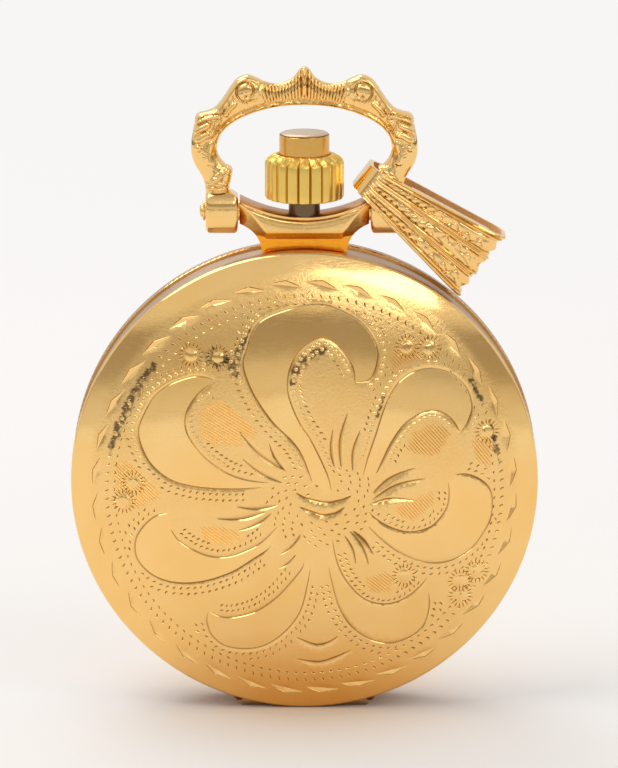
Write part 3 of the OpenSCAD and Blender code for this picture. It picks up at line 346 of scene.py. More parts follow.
def engraved_faces(engraving, boundary, ground):
    """Points, faces and cut depths of the plan inside boundary, with an edge along every cut."""
    points = [tuple(p) for p in boundary]
    edges = [(i, (i + 1) % len(boundary)) for i in range(len(boundary))]
    points += [tuple(p) for p in ground]

    def chain(row, closed=False):
        first = len(points)
        points.extend(tuple(p) for p in row)
        edges.extend((first + i, first + i + 1) for i in range(len(row) - 1))
        if closed:
            edges.append((first + len(row) - 1, first))

    for path, side, half, _, lean, _ in engraving.cuts:
        chain(path + side * half[:, None])
        chain(path + side * (half * lean)[:, None])
        chain(path - side * half[:, None])
    for outline, middle, _ in engraving.marks:
        chain(outline, closed=True)
        chain(middle + 0.6 * (outline - middle), closed=True)
        points.append(tuple(middle))
    result = geometry.delaunay_2d_cdt([Vector(p) for p in points], edges, [], 0, 1e-4, False)
    flat = np.array([tuple(v) for v in result[0]])
    faces = [tuple(f) for f in result[2]]
    depth, dirty = cut_depth(engraving, flat)
    return flat, faces, depth, dirty


def cut_depth(engraving, flat):
    """Depth of the engraving at each plan point, and how much dirt lies there."""
    cell = 0.5
    grid = {}
    for i, (x, y) in enumerate(flat):
        grid.setdefault((int(x // cell), int(y // cell)), []).append(i)
    depth = np.zeros(len(flat))
    dirty = np.zeros(len(flat))

    def near(low, high):
        found = []
        for gx in range(int(low[0] // cell), int(high[0] // cell) + 1):
            for gy in range(int(low[1] // cell), int(high[1] // cell) + 1):
                found += grid.get((gx, gy), ())
        return np.array(found, int)

    for path, _, half, deep, lean, dirt in engraving.cuts:
        for i in range(len(path) - 1):
            a, b = path[i], path[i + 1]
            reach = max(half[i], half[i + 1])
            who = near(np.minimum(a, b) - reach, np.maximum(a, b) + reach)
            if not len(who):
                continue
            d = b - a
            t = ((flat[who] - a) @ d) / max(d @ d, 1e-12)
            keep = (t > -0.4) & (t < 1.4)
            who, t = who[keep], np.clip(t[keep], 0, 1)
            off = flat[who] - a
            h = half[i] + (half[i + 1] - half[i]) * t
            s = np.einsum("ij,j->i", off, np.array([-d[1], d[0]]) / max(np.linalg.norm(d), 1e-9))
            deepest = h * lean
            left = (h - s) / np.maximum(h - deepest, 1e-6)
            right = (h + s) / np.maximum(h + deepest, 1e-6)
            share = np.clip(np.minimum(left, right), 0, 1)
            down = (deep[i] + (deep[i + 1] - deep[i]) * t) * share
            dirty[who] = np.where(down > depth[who], dirt * share, dirty[who])
            depth[who] = np.maximum(depth[who], down)
    for outline, middle, height in engraving.marks:
        reach = np.abs(outline - middle).max(axis=0)
        who = near(middle - reach, middle + reach)
        if not len(who):
            continue
        share = np.full(len(who), 1.0)
        n = len(outline)
        for i in range(n):
            a, b = outline[i], outline[(i + 1) % n]
            normal = np.array([a[1] - b[1], b[0] - a[0]])
            full = max((middle - a) @ normal, 1e-9)
            share = np.minimum(share, (flat[who] - a) @ normal / full)
        share = np.clip(share, 0, 1)
        depth[who] = np.where(share > 0.01, -height * np.sqrt(share * (2 - share)), depth[who])
    return depth, dirty


def corner_normals(points, faces, ground, ground_normal, limit=0.88):
    """Normals of every face corner: the true surface on the ground, smoothed between like faces elsewhere."""
    tri = np.array(faces)
    a, b, c = points[tri[:, 0]], points[tri[:, 1]], points[tri[:, 2]]
    area = np.cross(b - a, c - a)
    unit = area / np.maximum(np.linalg.norm(area, axis=1), 1e-20)[:, None]
    around = [[] for _ in range(len(points))]
    for f, corners in enumerate(faces):
        if not ground[f]:
            for v in corners:
                around[v].append(f)
    normals = np.zeros((len(faces) * 3, 3))
    for f, corners in enumerate(faces):
        for k, v in enumerate(corners):
            if ground[f]:
                normals[3 * f + k] = ground_normal[v]
                continue
            total = np.zeros(3)
            for g in around[v]:
                if unit[g] @ unit[f] > limit:
                    total += area[g]
            size = np.linalg.norm(total)
            normals[3 * f + k] = total / size if size > 0 else unit[f]
    return normals


# Materials


class Tree:
    """A node tree with short ways to add nodes to it."""

    def __init__(self, tree):
        self.nodes, self.links = tree.nodes, tree.links

    def put(self, socket, value):
        """Gives a socket a constant or the output of another node."""
        if isinstance(value, bpy.types.NodeSocket):
            self.links.new(value, socket)
        elif socket.type == "RGBA":
            socket.default_value = (*value, 1)
        else:
            socket.default_value = value

    def add(self, kind, inputs=(), **options):
        """A new node with its options set and its inputs filled, by name or by number."""
        node = self.nodes.new("ShaderNode" + kind)
        for key, value in options.items():
            setattr(node, key, value)
        for key, value in dict(inputs).items():
            self.put(node.inputs[key], value)
        return node

    def coordinates(self, scale=(1, 1, 1), rotation=(0, 0, 0)):
        """The place on the object, scaled and turned."""
        where = self.add("TexCoord").outputs["Object"]
        return self.add("Mapping", {"Vector": where, "Scale": scale, "Rotation": rotation}).outputs["Vector"]

    def noise(self, vector, scale, detail=4, roughness=0.55):
        inputs = {"Vector": vector, "Scale": scale, "Detail": detail, "Roughness": roughness}
        return self.add("TexNoise", inputs).outputs["Fac"]

    def ramp(self, source, *stops):
        """Colours along the source, each stop a position and a colour, or one number for a grey."""
        node = self.add("ValToRGB", {"Fac": source})
        elements = node.color_ramp.elements
        while len(elements) < len(stops):
            elements.new(0.5)
        for element, (position, colour) in zip(elements, stops):
            element.position = position
            element.color = (*(colour if hasattr(colour, "__len__") else (colour,) * 3), 1)
        return node.outputs["Color"]

    def spread(self, source, start, end, low=0, high=1, soft=False):
        """The source's range from start to end, stretched to low to high."""
        inputs = {"Value": source, "From Min": start, "From Max": end, "To Min": low, "To Max": high}
        kind = "SMOOTHSTEP" if soft else "LINEAR"
        return self.add("MapRange", inputs, interpolation_type=kind).outputs["Result"]

    def bump(self, height, strength, distance, below=None):
        inputs = {"Height": height, "Strength": strength, "Distance": distance}
        if below is not None:
            inputs["Normal"] = below
        return self.add("Bump", inputs).outputs["Normal"]

    def mix(self, factor, first, second, blend="MIX"):
        inputs = {"Factor": factor, 6: first, 7: second}
        return self.add("Mix", inputs, data_type="RGBA", blend_type=blend).outputs[2]

    def maths(self, operation, first, second):
        return self.add("Math", {0: first, 1: second}, operation=operation).outputs["Value"]

    def largest(self, first, *others):
        for other in others:
            first = self.maths("MAXIMUM", first, other)
        return first

    def length(self, vector):
        return self.add("VectorMath", {0: vector}, operation="LENGTH").outputs["Value"]

    def shaders(self, factor, first, second):
        return self.add("MixShader", {"Fac": factor, 1: first, 2: second}).outputs["Shader"]

    def attribute(self, name):
        return self.add("Attribute", attribute_name=name).outputs["Fac"]


class Finish(Tree):
    """A material, with the place on the object and its shader's sockets at hand."""

    def __init__(self, name):
        self.material = bpy.data.materials.new(name)
        self.material.use_nodes = True
        super().__init__(self.material.node_tree)
        self.shader = self.nodes["Principled BSDF"]
        self.where = self.coordinates()

    def set(self, socket, value):
        self.put(self.shader.inputs[socket], value)

    def now(self, socket):
        """What feeds one of the shader's sockets so far."""
        return self.shader.inputs[socket].links[0].from_socket

    def shade_hollows(self, shade, reach, most=0.8, open_at=0.75):
        """Paints shade into the base colour where the surface is closed in."""
        closed_in = self.add("AmbientOcclusion", {"Distance": reach}, samples=6).outputs["AO"]
        dirty = self.ramp(closed_in, (0.25, most), (open_at, 0))
        self.set("Base Color", self.mix(dirty, self.now("Base Color"), shade))


def metal(name, colour, tint, roughness, grain=0.15, waves=0.1, scratches=0.3):
    """Worn polished metal: a soft shift of colour, fine grain, gentle waviness and hairline scratches."""
    f = Finish(name)
    f.set("Metallic", 1)
    f.set("Base Color", f.ramp(f.noise(f.where, 260, 3), (0.3, colour), (0.75, tint)))
    f.set("Roughness", f.spread(f.noise(f.where, 700, 5, 0.65), 0, 1, *roughness))
    wavy = f.bump(f.noise(f.where, 320, 2), waves, 0.0002)
    fine = f.bump(f.noise(f.where, 9000, 3), grain, 0.00001, wavy)
    hair = f.noise(f.coordinates((900, 900, 14000), (0.4, 0.9, 0.5)), 1, 2, 0.4)
    lines = f.ramp(hair, (0, 1), (0.5, 1), (0.52, 0), (0.54, 1))
    f.set("Normal", f.bump(lines, scratches, 0.000004, fine))
    return f


def engraved_gold(look):
    """Gold of the covers: mirror petals and rim on a satin ground, with dirt in the cuts and some stains."""
    f = metal("engraved_gold", look.gold_light, look.gold_deep, (0.05, 0.1), 0.12, 0.05, 0.1)
    polish = f.attribute("polish")
    satin = f.spread(f.noise(f.where, 1500, 4, 0.6), 0, 1, 0.2, 0.3)
    f.set("Roughness", f.add("Mix", {"Factor": polish, 2: satin, 3: f.now("Roughness")}).outputs[0])
    # the ground is covered with fine tooling that the petals don't have
    strength = f.maths("MULTIPLY", f.maths("SUBTRACT", 1, polish), 0.35)
    f.set("Normal", f.bump(f.noise(f.where, 5200, 2, 0.5), strength, 0.00003, f.now("Normal")))
    patches = f.spread(f.noise(f.where, 230, 4), 0, 1, 0.35, 1.2)
    core = f.ramp(f.attribute("cut"), (0.3, 0), (0.85, 1))
    dark = f.mix(f.maths("MULTIPLY", core, patches), f.now("Base Color"), look.dirt_and_painted_shade)
    # the stains fill the ground between the beads and stop at their tops
    ragged = f.maths("MULTIPLY", f.noise(f.where, 2300, 4, 0.7), 0.9)
    thick = f.maths("MULTIPLY", f.attribute("stain"), 0.44)
    spots = f.ramp(f.maths("ADD", thick, ragged), (0.72, 0), (0.88, 0.85))
    low = f.maths("SUBTRACT", 1, f.attribute("raised"))
    stained = f.maths("MULTIPLY", spots, f.ramp(low, (0.35, 0), (0.65, 1)))
    f.set("Base Color", f.mix(stained, dark, look.stain))


def reeded_gold(look):
    """The band: fine turned lines round the case outside, duller than the rims, and satin gold inside."""
    f = metal("reeded_gold", (0.56, 0.41, 0.29), (0.48, 0.34, 0.23), (0.36, 0.5), 0.7)
    lines = f.add("TexWave", {"Vector": f.where, "Scale": 900, "Distortion": 0.6},
                  wave_type="BANDS", bands_direction="Y").outputs["Fac"]
    f.set("Normal", f.bump(lines, 0.6, 0.00003, f.now("Normal")))
    # how far a place lies from the axis of the case
    flat = f.add("VectorMath", {0: f.where, 1: (1, 0, 1), 2: (0, 0, -CASE_Z * MM)}, operation="MULTIPLY_ADD")
    outside = f.spread(f.length(flat.outputs["Vector"]), (BAND_R - 0.35) * MM, (BAND_R - 0.3) * MM)
    inner = f.mix(f.noise(f.where, 260, 3), look.gold_light, look.gold_deep)
    f.set("Base Color", f.mix(outside, inner, f.now("Base Color")))


def crown_gold(look):
    """Deep yellow plating, with brown painted shade between the flutes."""
    f = metal("crown_gold", look.plate_light, look.plate_deep, (0.12, 0.26), 0.2, 0.05)
    # painted shade: the grooves between the flutes darken by ambient occlusion
    f.shade_hollows(look.dirt_and_painted_shade, 0.00016, 0.9, 0.8)


def cast_gold(look):
    """Cast and chased gold: a little rippled, with painted shade in its hollows."""
    f = metal("cast_gold", look.gold_light, look.gold_deep, (0.05, 0.11), 0.1, 0.12, 0.1)
    f.set("Normal", f.bump(f.noise(f.where, 2600, 3, 0.6), 0.12, 0.00004, f.now("Normal")))
    # painted shade: the hollows darken by ambient occlusion
    f.shade_hollows(look.dirt_and_painted_shade, 0.00022, 0.68)


def pendant_gold(look):
    """Polished gold with painted reflection, deep orange towards the case and where closed in, and painted
    shade, brown in its tightest corners.
    """
    f = metal("pendant_gold", look.gold_light, look.gold_deep, (0.07, 0.18))
    # painted reflection: places closed in within 1.6 mm turn deep orange
    f.shade_hollows((0.85, 0.33, 0.02), 0.0016, 1, 0.9)
    # painted reflection: the band at its foot is painted deep orange by height, standing in for the gold
    # mirrored there
    up = f.add("SeparateXYZ", {0: f.where}).outputs["Z"]
    band = CASE_Z + LOWER_BAND
    foot = f.spread(up, (band + 0.12) * MM, (band - 0.08) * MM, 0, 0.9)
    f.set("Base Color", f.mix(foot, f.now("Base Color"), (0.96, 0.36, 0.012)))
    # painted shade: brown in the tightest corners, by ambient occlusion
    f.shade_hollows(look.dirt_and_painted_shade, 0.0003, 0.9, 0.7)


def brushed_button():
    """The button's side: fine upright brushing in paler plating."""
    f = metal("brushed_button", (0.78, 0.46, 0.13), (0.72, 0.41, 0.1), (0.2, 0.3), 0.2, 0, 0.1)
    upright = f.noise(f.coordinates((9000, 9000, 300)), 1, 2)
    f.set("Normal", f.bump(upright, 0.4, 0.00001, f.now("Normal")))


def steel(name, colour, roughness=(0.25, 0.38)):
    metal(name, colour, [0.86 * c for c in colour], roughness, 0.2, 0.02, 0.2)


def striped_nickel():
    """Bridges with broad damascened stripes."""
    f = metal("striped_nickel", (0.72, 0.71, 0.68), (0.66, 0.65, 0.62), (0.2, 0.3), 0.1, 0, 0.1)
    slanting = f.coordinates(rotation=(0, math.radians(35), 0))
    stripes = f.add("TexWave", {"Vector": slanting, "Scale": 120},
                    wave_type="BANDS", bands_direction="X", wave_profile="SAW").outputs["Fac"]
    f.set("Normal", f.bump(stripes, 0.5, 0.00006, f.now("Normal")))
    f.set("Roughness", f.spread(stripes, 0, 1, 0.16, 0.4))


def mottled(name, colours, roughness, relief=None):
    """Stone, enamel and ink. Each of colour, roughness and relief is a noise with its scale and its range."""
    f = Finish(name)
    scale, detail, light, deep = colours
    f.set("Base Color", f.ramp(f.noise(f.where, scale, detail), (0.3, light), (0.8, deep)))
    scale, detail, low, high = roughness
    f.set("Roughness", f.spread(f.noise(f.where, scale, detail), 0, 1, low, high))
    if relief:
        scale, strength, distance = relief
        f.set("Normal", f.bump(f.noise(f.where, scale, 2), strength, distance))
    return f


def clear_crystal():
    """Thin, clear and barely rippled."""
    f = Finish("crystal")
    f.set("Alpha", 0.06)
    f.set("Specular IOR Level", 0.8)
    f.set("Base Color", (0.9, 0.93, 0.94))
    f.set("Roughness", f.spread(f.noise(f.where, 900, 3), 0, 1, 0.02, 0.05))
    f.set("Normal", f.bump(f.noise(f.where, 200, 2), 0.02, 0.0001))


# What a user would change


def length_setting(label, text, default, low, high):
    return FloatProperty(name=label, description=text + ", in millimetres", default=default, min=low,
                         max=high)


def colour_setting(label, text, default):
    return FloatVectorProperty(name=label, description=text, subtype="COLOR", default=default, min=0, max=1)


class CaseSettings(bpy.types.PropertyGroup):
    rim_round: FloatProperty(name="Rim rounding", description="How late the cover bends down to its rim",
                             default=2.9, min=2, max=5)
    border_cuts: IntProperty(name="Border cuts", description="Bright cuts in the cover's border",
                             default=36, min=20, max=60)
    border_radius: length_setting("Border radius", "Radius of the border of bright cuts", 12.9, 10, 13.5)
    cut_width: length_setting("Cut width", "Width of the main graver cuts", 0.22, 0.1, 0.5)
    cut_depth: length_setting("Cut depth", "Depth of the main graver cuts", 0.055, 0.02, 0.15)


class LookSettings(bpy.types.PropertyGroup):
    gold_light: colour_setting("Gold, light", "Lighter tone of the gold", (0.98, 0.66, 0.27))
    gold_deep: colour_setting("Gold, deep", "Deeper tone of the gold", (0.95, 0.60, 0.21))
    # old dirt in the engraving's cuts, and also painted shade in the hollows of the crown, bow and pendant
    dirt_and_painted_shade: colour_setting("Cut shade", "Old dirt in the engraving", (0.16, 0.085, 0.03))
    stain: colour_setting("Stain", "Black-brown stains between the beads", (0.09, 0.055, 0.03))
    plate_light: colour_setting("Crown plate, light", "Lighter tone of the crown's plating",
                                (0.9, 0.39, 0.035))
    plate_deep: colour_setting("Crown plate, deep", "Deeper tone of the crown's plating", (0.76, 0.29, 0.02))


class StageSettings(bpy.types.PropertyGroup):
    distance: FloatProperty(name="Camera distance", description="From the camera to the middle of the case",
                            default=0.4, min=0.2, max=1, subtype="DISTANCE", unit="LENGTH")
    elevation: FloatProperty(name="Camera elevation", description="Height angle of the camera",
                             default=math.radians(13.24), subtype="ANGLE")
    floor_colour: colour_setting("Floor", "Colour of the pale floor", (0.90, 0.88, 0.865))
    floor_radius: FloatProperty(name="Floor radius", description="Reach of the pale floor round the watch",
                                default=0.32, min=0.1, max=2, subtype="DISTANCE", unit="LENGTH")


# The floor, the light and the camera


# The camera is set so that the case's middle falls on CASE_PIXEL of a frame of this width and height
FOCAL_PIXELS = 6407
FRAME_WIDTH, FRAME_HEIGHT = 618, 768
CASE_PIXEL = (304.4, 473.5)
FOCAL_AT = 0.4
SENSOR = 36
BACKDROP = (0.93, 0.922, 0.915)
# What the metal mirrors: a height on the unit sphere and its colour
SKY = [(0, (0.88, 0.85, 0.81)), (0.06, (0.78, 0.75, 0.7)), (0.11, (0.5, 0.46, 0.41)),
       (0.26, (0.44, 0.4, 0.36)), (0.31, (0.94, 0.92, 0.89)), (0.5, (0.9, 0.88, 0.86)),
       (0.7, (0.75, 0.74, 0.73)), (1, 0.5)]
SKY_STRENGTH = 0.85
BEHIND = (0.95, 0.94, 0.93)
# Soft boxes: place and size in metres, and power in watts
LAMPS = {
    "key_softbox": ((-0.25, -0.1, 0.5), (0.3, 0.3), 0.75),
    "right_softbox": ((0.35, -0.3, 0.42), (0.2, 0.3), 0.3),
    "back_softbox": ((-0.12, 0.3, 0.36), (0.3, 0.2), 0.4),
    "front_strip": ((0.17, -0.61, 0.32), (0.3, 0.1), 0.22),
}
LAMP_AIM = (0, 0, 0.02)


def look_at(o, place_at, aim):
    o.location = place_at
    o.rotation_euler = (Vector(aim) - Vector(place_at)).to_track_quat("-Z", "Y").to_euler()
    bpy.context.scene.collection.objects.link(o)


def lamp(name, place_at, size, power):
    data = bpy.data.lights.new(name, "AREA")
    data.shape = "RECTANGLE"
    data.size, data.size_y = size
    data.energy = power
    look_at(bpy.data.objects.new(name, data), place_at, LAMP_AIM)


def floor_material(stage):
    """A pale cloth with a warm painted shadow close to the gold, that fades into the backdrop."""
    f = Finish("pale_floor")
    tone = f.ramp(f.noise(f.where, 40, 3), (0.3, stage.floor_colour),
                  (0.8, [0.99 * c for c in stage.floor_colour]))
    f.set("Roughness", 0.7)
    f.set("Specular IOR Level", 0.2)
    reach = f.length(f.where)
    rays = f.add("LightPath").outputs
    # painted shadow: close to the watch the floor is darker and warmer, for the camera and more so in what
    # the metal mirrors
    painted_shadow_seen = f.ramp(reach, (0.004, (0.86, 0.75, 0.65)), (0.009, (0.96, 0.92, 0.89)), (0.014, 1))
    painted_shadow_mirrored = f.ramp(reach, (0.004, (0.76, 0.56, 0.34)), (0.012, (1, 0.97, 0.92)))
    painted_shadow_tint = f.mix(rays["Is Camera Ray"], painted_shadow_mirrored, painted_shadow_seen)
    f.set("Base Color", f.mix(1, tone, painted_shadow_tint, "MULTIPLY"))
    # far from the watch the floor fades into the backdrop
    seen = f.largest(rays["Is Camera Ray"], rays["Is Glossy Ray"], rays["Is Transmission Ray"])
    fade = f.maths("MULTIPLY", f.spread(reach, 0.05, 0.24, soft=True), seen)
    glow = f.add("Emission", {"Color": BACKDROP}).outputs["Emission"]
    pale = f.shaders(fade, f.shader.outputs["BSDF"], glow)
    # where an open cover dips below the floor, the floor gives way so that its inside stays in sight
    below = f.add("AmbientOcclusion", {"Distance": 0.03}, inside=True, samples=8).outputs["AO"]
    under = f.add("NewGeometry").outputs["Backfacing"]
    gone = f.largest(f.maths("LESS_THAN", below, 0.25), rays["Is Shadow Ray"], under)
    clear = f.add("BsdfTransparent").outputs["BSDF"]
    f.put(f.nodes["Material Output"].inputs["Surface"], f.shaders(gone, pale, clear))
    return f.material


def studio_world():
    """A room for the metal to mirror, and the plain backdrop for the camera."""
    world = bpy.data.worlds.new("studio")
    world.use_nodes = True
    world.node_tree.nodes.clear()
    t = Tree(world.node_tree)
    axis = t.add("SeparateXYZ", {0: t.add("TexCoord").outputs["Generated"]}).outputs
    sky = t.mix(t.spread(axis["Y"], -0.25, 0.35, soft=True), t.ramp(axis["Z"], *SKY), BEHIND)
    # no light from below the floor
    sky = t.mix(t.spread(axis["Z"], -0.09, -0.05), (0, 0, 0), sky)
    light = t.add("Background", {"Color": sky, "Strength": SKY_STRENGTH}).outputs["Background"]
    seen = t.add("Background", {"Color": BACKDROP}).outputs["Background"]
    rays = t.add("LightPath").outputs
    straight = t.largest(rays["Is Camera Ray"], rays["Is Transmission Ray"])
    t.add("OutputWorld", {"Surface": t.shaders(straight, light, seen)})
    return world


def place_camera(scene, stage):
    """A long lens a little above the case, shifted by its aim so that the case stands where it should."""
    camera = bpy.data.cameras.new("camera")
    camera.sensor_fit = "HORIZONTAL"
    camera.sensor_width = SENSOR
    camera.lens = FOCAL_PIXELS / FRAME_WIDTH * SENSOR * stage.distance / FOCAL_AT
    camera.clip_start = 0.01
    rise, back = math.sin(stage.elevation), math.cos(stage.elevation)
    middle = Vector((0, 0, CASE_Z * MM))
    per_pixel = FOCAL_AT / FOCAL_PIXELS
    aside = (FRAME_WIDTH / 2 - CASE_PIXEL[0]) * per_pixel
    above = (CASE_PIXEL[1] - FRAME_HEIGHT / 2) * per_pixel
    o = bpy.data.objects.new("camera", camera)
    look_at(o, middle + Vector((0, -back, rise)) * stage.distance,
            middle + Vector((aside, above * rise, above * back)))
    scene.camera = o


class WATCH_OT_stage(bpy.types.Operator):
    """Adds the pale floor, the soft light and the camera"""

    bl_idname = "watch.stage"
    bl_label = "Stage, light and camera"

    def execute(self, context):
        stage = context.scene.watch_stage
        deselect()
        bpy.ops.mesh.primitive_circle_add(vertices=96, radius=stage.floor_radius, fill_type="NGON",
                                          location=(0, 0, 0))
        floor = named("floor")
        floor.data.materials.append(floor_material(stage))
        context.scene.world = studio_world()
        for name, values in LAMPS.items():
            lamp(name, *values)
        place_camera(context.scene, stage)
        context.scene.view_settings.view_transform = "Standard"
        return {"FINISHED"}


# Covers


def dome_profile(rise, exponent):
    """Height of the cover above its rim at a radius, and its slope there."""

    def height(r):
        return rise * (1 - (np.minimum(r, CASE_R) / CASE_R) ** exponent)

    def slope(r):
        return -rise * exponent / CASE_R * (np.minimum(r, CASE_R) / CASE_R) ** (exponent - 1)

    return height, slope


# Comma petals, each an outer and an inner edge from tip to root, in millimetres from the cover's middle
PETALS = [
    ([(3.1, 6.7), (3.7, 6.7), (4.2, 7.0), (4.5, 7.9), (4.5, 8.9), (3.7, 10.2), (2.5, 11.0), (0.9, 11.5),
      (-1.3, 11.1), (-2.9, 10.3), (-3.6, 8.8), (-3.8, 7.7), (-3.2, 6.0), (-2.0, 4.2), (-0.8, 3.0),
      (-0.2, 2.1), (0.5, 0.4)],
     [(3.1, 6.7), (3.0, 7.5), (2.5, 8.4), (1.7, 9.2), (0.9, 9.4), (-0.2, 8.7), (-0.8, 7.7), (-1.0, 6.6),
      (-0.8, 5.5), (-0.2, 4.1), (0.4, 3.2), (1.1, 1.8), (1.5, 0.8), (1.7, -0.2)]),
    ([(-5.5, 6.8), (-6.1, 7.0), (-7.0, 7.0), (-8.3, 6.5), (-9.3, 5.7), (-9.9, 4.7), (-10.3, 3.6),
      (-10.1, 2.5), (-9.5, 1.4), (-8.4, 0.5), (-7.1, 0.1), (-5.6, -0.05), (-4.0, -0.05), (-2.6, 0.1)],
     [(-5.5, 6.6), (-6.2, 6.2), (-6.9, 5.4), (-7.3, 4.5), (-7.2, 3.5), (-6.6, 2.5), (-5.8, 1.7), (-4.7, 1.0),
      (-3.5, 0.6), (-2.1, 0.4)]),
    ([(9.6, 3.3), (10.1, 4.0), (10.4, 5.0), (10.1, 6.1), (9.4, 6.9), (8.7, 7.3), (7.7, 7.5), (6.7, 7.3),
      (5.9, 6.8), (5.3, 6.0), (4.8, 4.9), (4.4, 3.6), (3.9, 2.1), (3.6, 0.8)],
     [(9.6, 3.5), (9.1, 4.2), (8.4, 4.7), (7.7, 4.8), (6.9, 4.5), (6.1, 3.9), (5.4, 2.9), (4.9, 1.9),
      (4.4, 0.9)]),
    ([(9.3, 0.8), (10.0, 0.75), (10.8, 0.4), (11.4, -0.2), (11.6, -1.0), (11.5, -2.1), (11.0, -3.1),
      (10.3, -4.0), (9.3, -4.6), (8.2, -4.8), (7.0, -4.6), (5.8, -4.0), (4.8, -3.2), (3.9, -2.3)],
     [(8.9, 0.4), (9.0, -0.4), (8.9, -1.2), (8.5, -1.9), (7.9, -2.5), (7.0, -2.8), (6.2, -2.8), (5.3, -2.5),
      (4.5, -2.0), (3.9, -1.4)]),
    ([(7.7, -6.7), (7.7, -7.8), (7.4, -8.9), (6.7, -9.6), (5.7, -10.0), (4.8, -10.0), (3.8, -9.6),
      (2.9, -8.8), (2.2, -7.6), (1.8, -6.2), (1.5, -4.9)],
     [(7.7, -5.7), (7.2, -6.4), (6.5, -7.0), (5.7, -7.4), (4.8, -7.5), (3.8, -7.2), (3.0, -6.5), (2.3, -5.5),
      (1.9, -4.4), (1.7, -3.1)]),
    ([(-6.0, -8.0), (-6.1, -8.7), (-5.8, -9.6), (-5.0, -10.3), (-3.8, -10.5), (-2.6, -10.3), (-1.5, -9.6),
      (-0.6, -8.6), (-0.1, -7.6), (0.2, -6.3), (0.4, -5.0)],
     [(-5.9, -8.0), (-5.0, -8.3), (-4.0, -8.2), (-2.9, -7.8), (-1.8, -7.0), (-0.9, -6.0), (-0.2, -5.1),
      (0.0, -4.6)]),
    ([(-8.4, -1.6), (-9.2, -1.8), (-10.0, -2.5), (-10.5, -3.4), (-10.5, -4.5), (-9.9, -5.4), (-8.9, -6.0),
      (-7.6, -6.2), (-6.1, -6.0), (-4.5, -5.4), (-3.4, -4.7), (-2.3, -3.9), (-2.0, -3.5)],
     [(-8.3, -2.6), (-7.8, -3.3), (-6.9, -3.9), (-5.8, -4.3), (-4.7, -4.3), (-3.6, -3.9), (-2.6, -3.3),
      (-1.6, -2.3)]),
]
# Long spear cuts between the petals, from root to point
SPEARS = [
    ((2.3, 1.3), (2.7, 4.9)), ((3.0, 1.1), (3.5, 3.8)), ((1.9, 1.3), (1.8, 3.9)), ((4.2, -0.3), (6.9, 1.3)),
    ((4.2, -0.7), (7.5, 0.6)), ((4.0, -1.0), (6.9, -0.8)), ((2.4, -2.9), (3.2, -4.9)),
          ((2.7, -2.6), (4.0, -4.9)),
    ((2.9, -2.6), (4.3, -4.3)), ((-1.1, 1.1), (-2.2, 3.0)), ((-1.2, 1.2), (-4.0, 3.6)),
          ((-1.3, 0.4), (-3.9, 2.0)),
    ((-1.6, -1.0), (-4.3, -1.1)), ((-2.3, -1.4), (-5.5, -1.9)), ((-2.0, -1.5), (-4.2, -2.7)),
    ((-0.2, -2.8), (-1.5, -4.2)), ((-0.5, -4.1), (-1.6, -5.1)),
]
# Curved cuts at the heart of the flower and below it
CRESCENTS = [
    [(-0.6, -0.2), (0.2, -0.7), (1.4, -0.95), (2.3, -0.75), (3.0, -0.4)],
    [(-0.4, -1.1), (0.4, -1.5), (1.1, -1.75), (1.9, -1.6), (2.6, -1.1)],
    [(-0.6, -9.6), (0.6, -10.2), (1.5, -10.05), (2.2, -9.5)],
    [(-0.6, -11.1), (0.8, -11.4), (1.9, -11.1), (3.0, -10.5)],
]
# Fields of fine parallel lines, each with its direction in degrees
HATCHED = [
    ([(-6.6, 5.0), (-5.4, 5.8), (-4.6, 5.2), (-2.6, 3.5), (-3.6, 2.6), (-5.6, 2.6), (-6.6, 3.4)], -31),
    ([(-12.0, 1.6), (-11.0, 1.8), (-10.3, 0.9), (-8.6, -0.5), (-9.4, -1.3), (-10.9, -1.6), (-11.9, -0.6)],
     -42),
    ([(6.5, 3.6), (7.6, 4.2), (8.6, 4.1), (9.2, 3.2), (8.4, 1.9), (7.2, 1.9), (6.0, 2.6)], -48),
    ([(5.2, 8.8), (6.2, 9.6), (7.4, 8.0), (8.2, 7.9), (6.6, 7.7), (5.2, 7.0)], -45),
    ([(10.2, 3.0), (11.4, 4.4), (11.9, 2.6), (11.6, 0.9), (10.6, 1.4)], -52),
    ([(-6.7, -2.4), (-5.2, -2.3), (-3.4, -3.1), (-4.2, -3.7), (-6.0, -3.7)], -35),
    ([(5.6, -0.9), (8.0, 0.1), (8.2, -1.2), (7.0, -2.2), (5.6, -1.9)], -50),
    ([(3.6, -5.6), (4.8, -5.2), (6.0, -5.8), (5.4, -6.8), (4.0, -6.8)], -40),
]
BERRY_R = 0.42
BERRY_HEIGHT = 0.075
BERRY_RAYS = 17
HEART = (1.2, -1.0)
HEART_MARKS = 110
GOLDEN_ANGLE = 2.39996
BEADS_ABOVE = 1.5
BERRIES = [(-7.0, 8.3), (-5.35, 8.2), (6.3, 8.8), (7.7, 8.7), (11.3, 3.4), (9.7, -6.1), (10.7, -5.5),
           (9.7, -7.1), (-11.2, -1.0), (-10.6, 0.2), (6.2, -5.6)]


# Where the gold is stained: a path and the reach to both sides of it, in millimetres
STAINS = [
    ([(-5.6, 8.2), (-5.0, 8.1), (-4.6, 7.6)], 0.8),
          ([(-2.9, 10.0), (-3.6, 9.2), (-4.1, 8.2), (-4.2, 7.2)], 0.44),
    ([(-0.9, 6.7), (-0.5, 7.4), (0.2, 8.2), (1.2, 8.6)], 0.5),
          ([(-9.3, 7.6), (-10.5, 5.8), (-11.4, 3.9), (-12.0, 2.2)], 0.42),
    ([(11.5, 3.7), (11.8, 2.7), (12.0, 1.6)], 0.28), ([(10.3, 6.6), (10.9, 5.4)], 0.25),
          ([(4.9, 5.9), (4.5, 4.6)], 0.22),
]
BORDER_DROP = 0.3
LEAF_PAIRS = 8
LOZENGE_LONG = 2.25
LOZENGE_WIDE = 0.52
LOZENGE_SLANT = 0.2


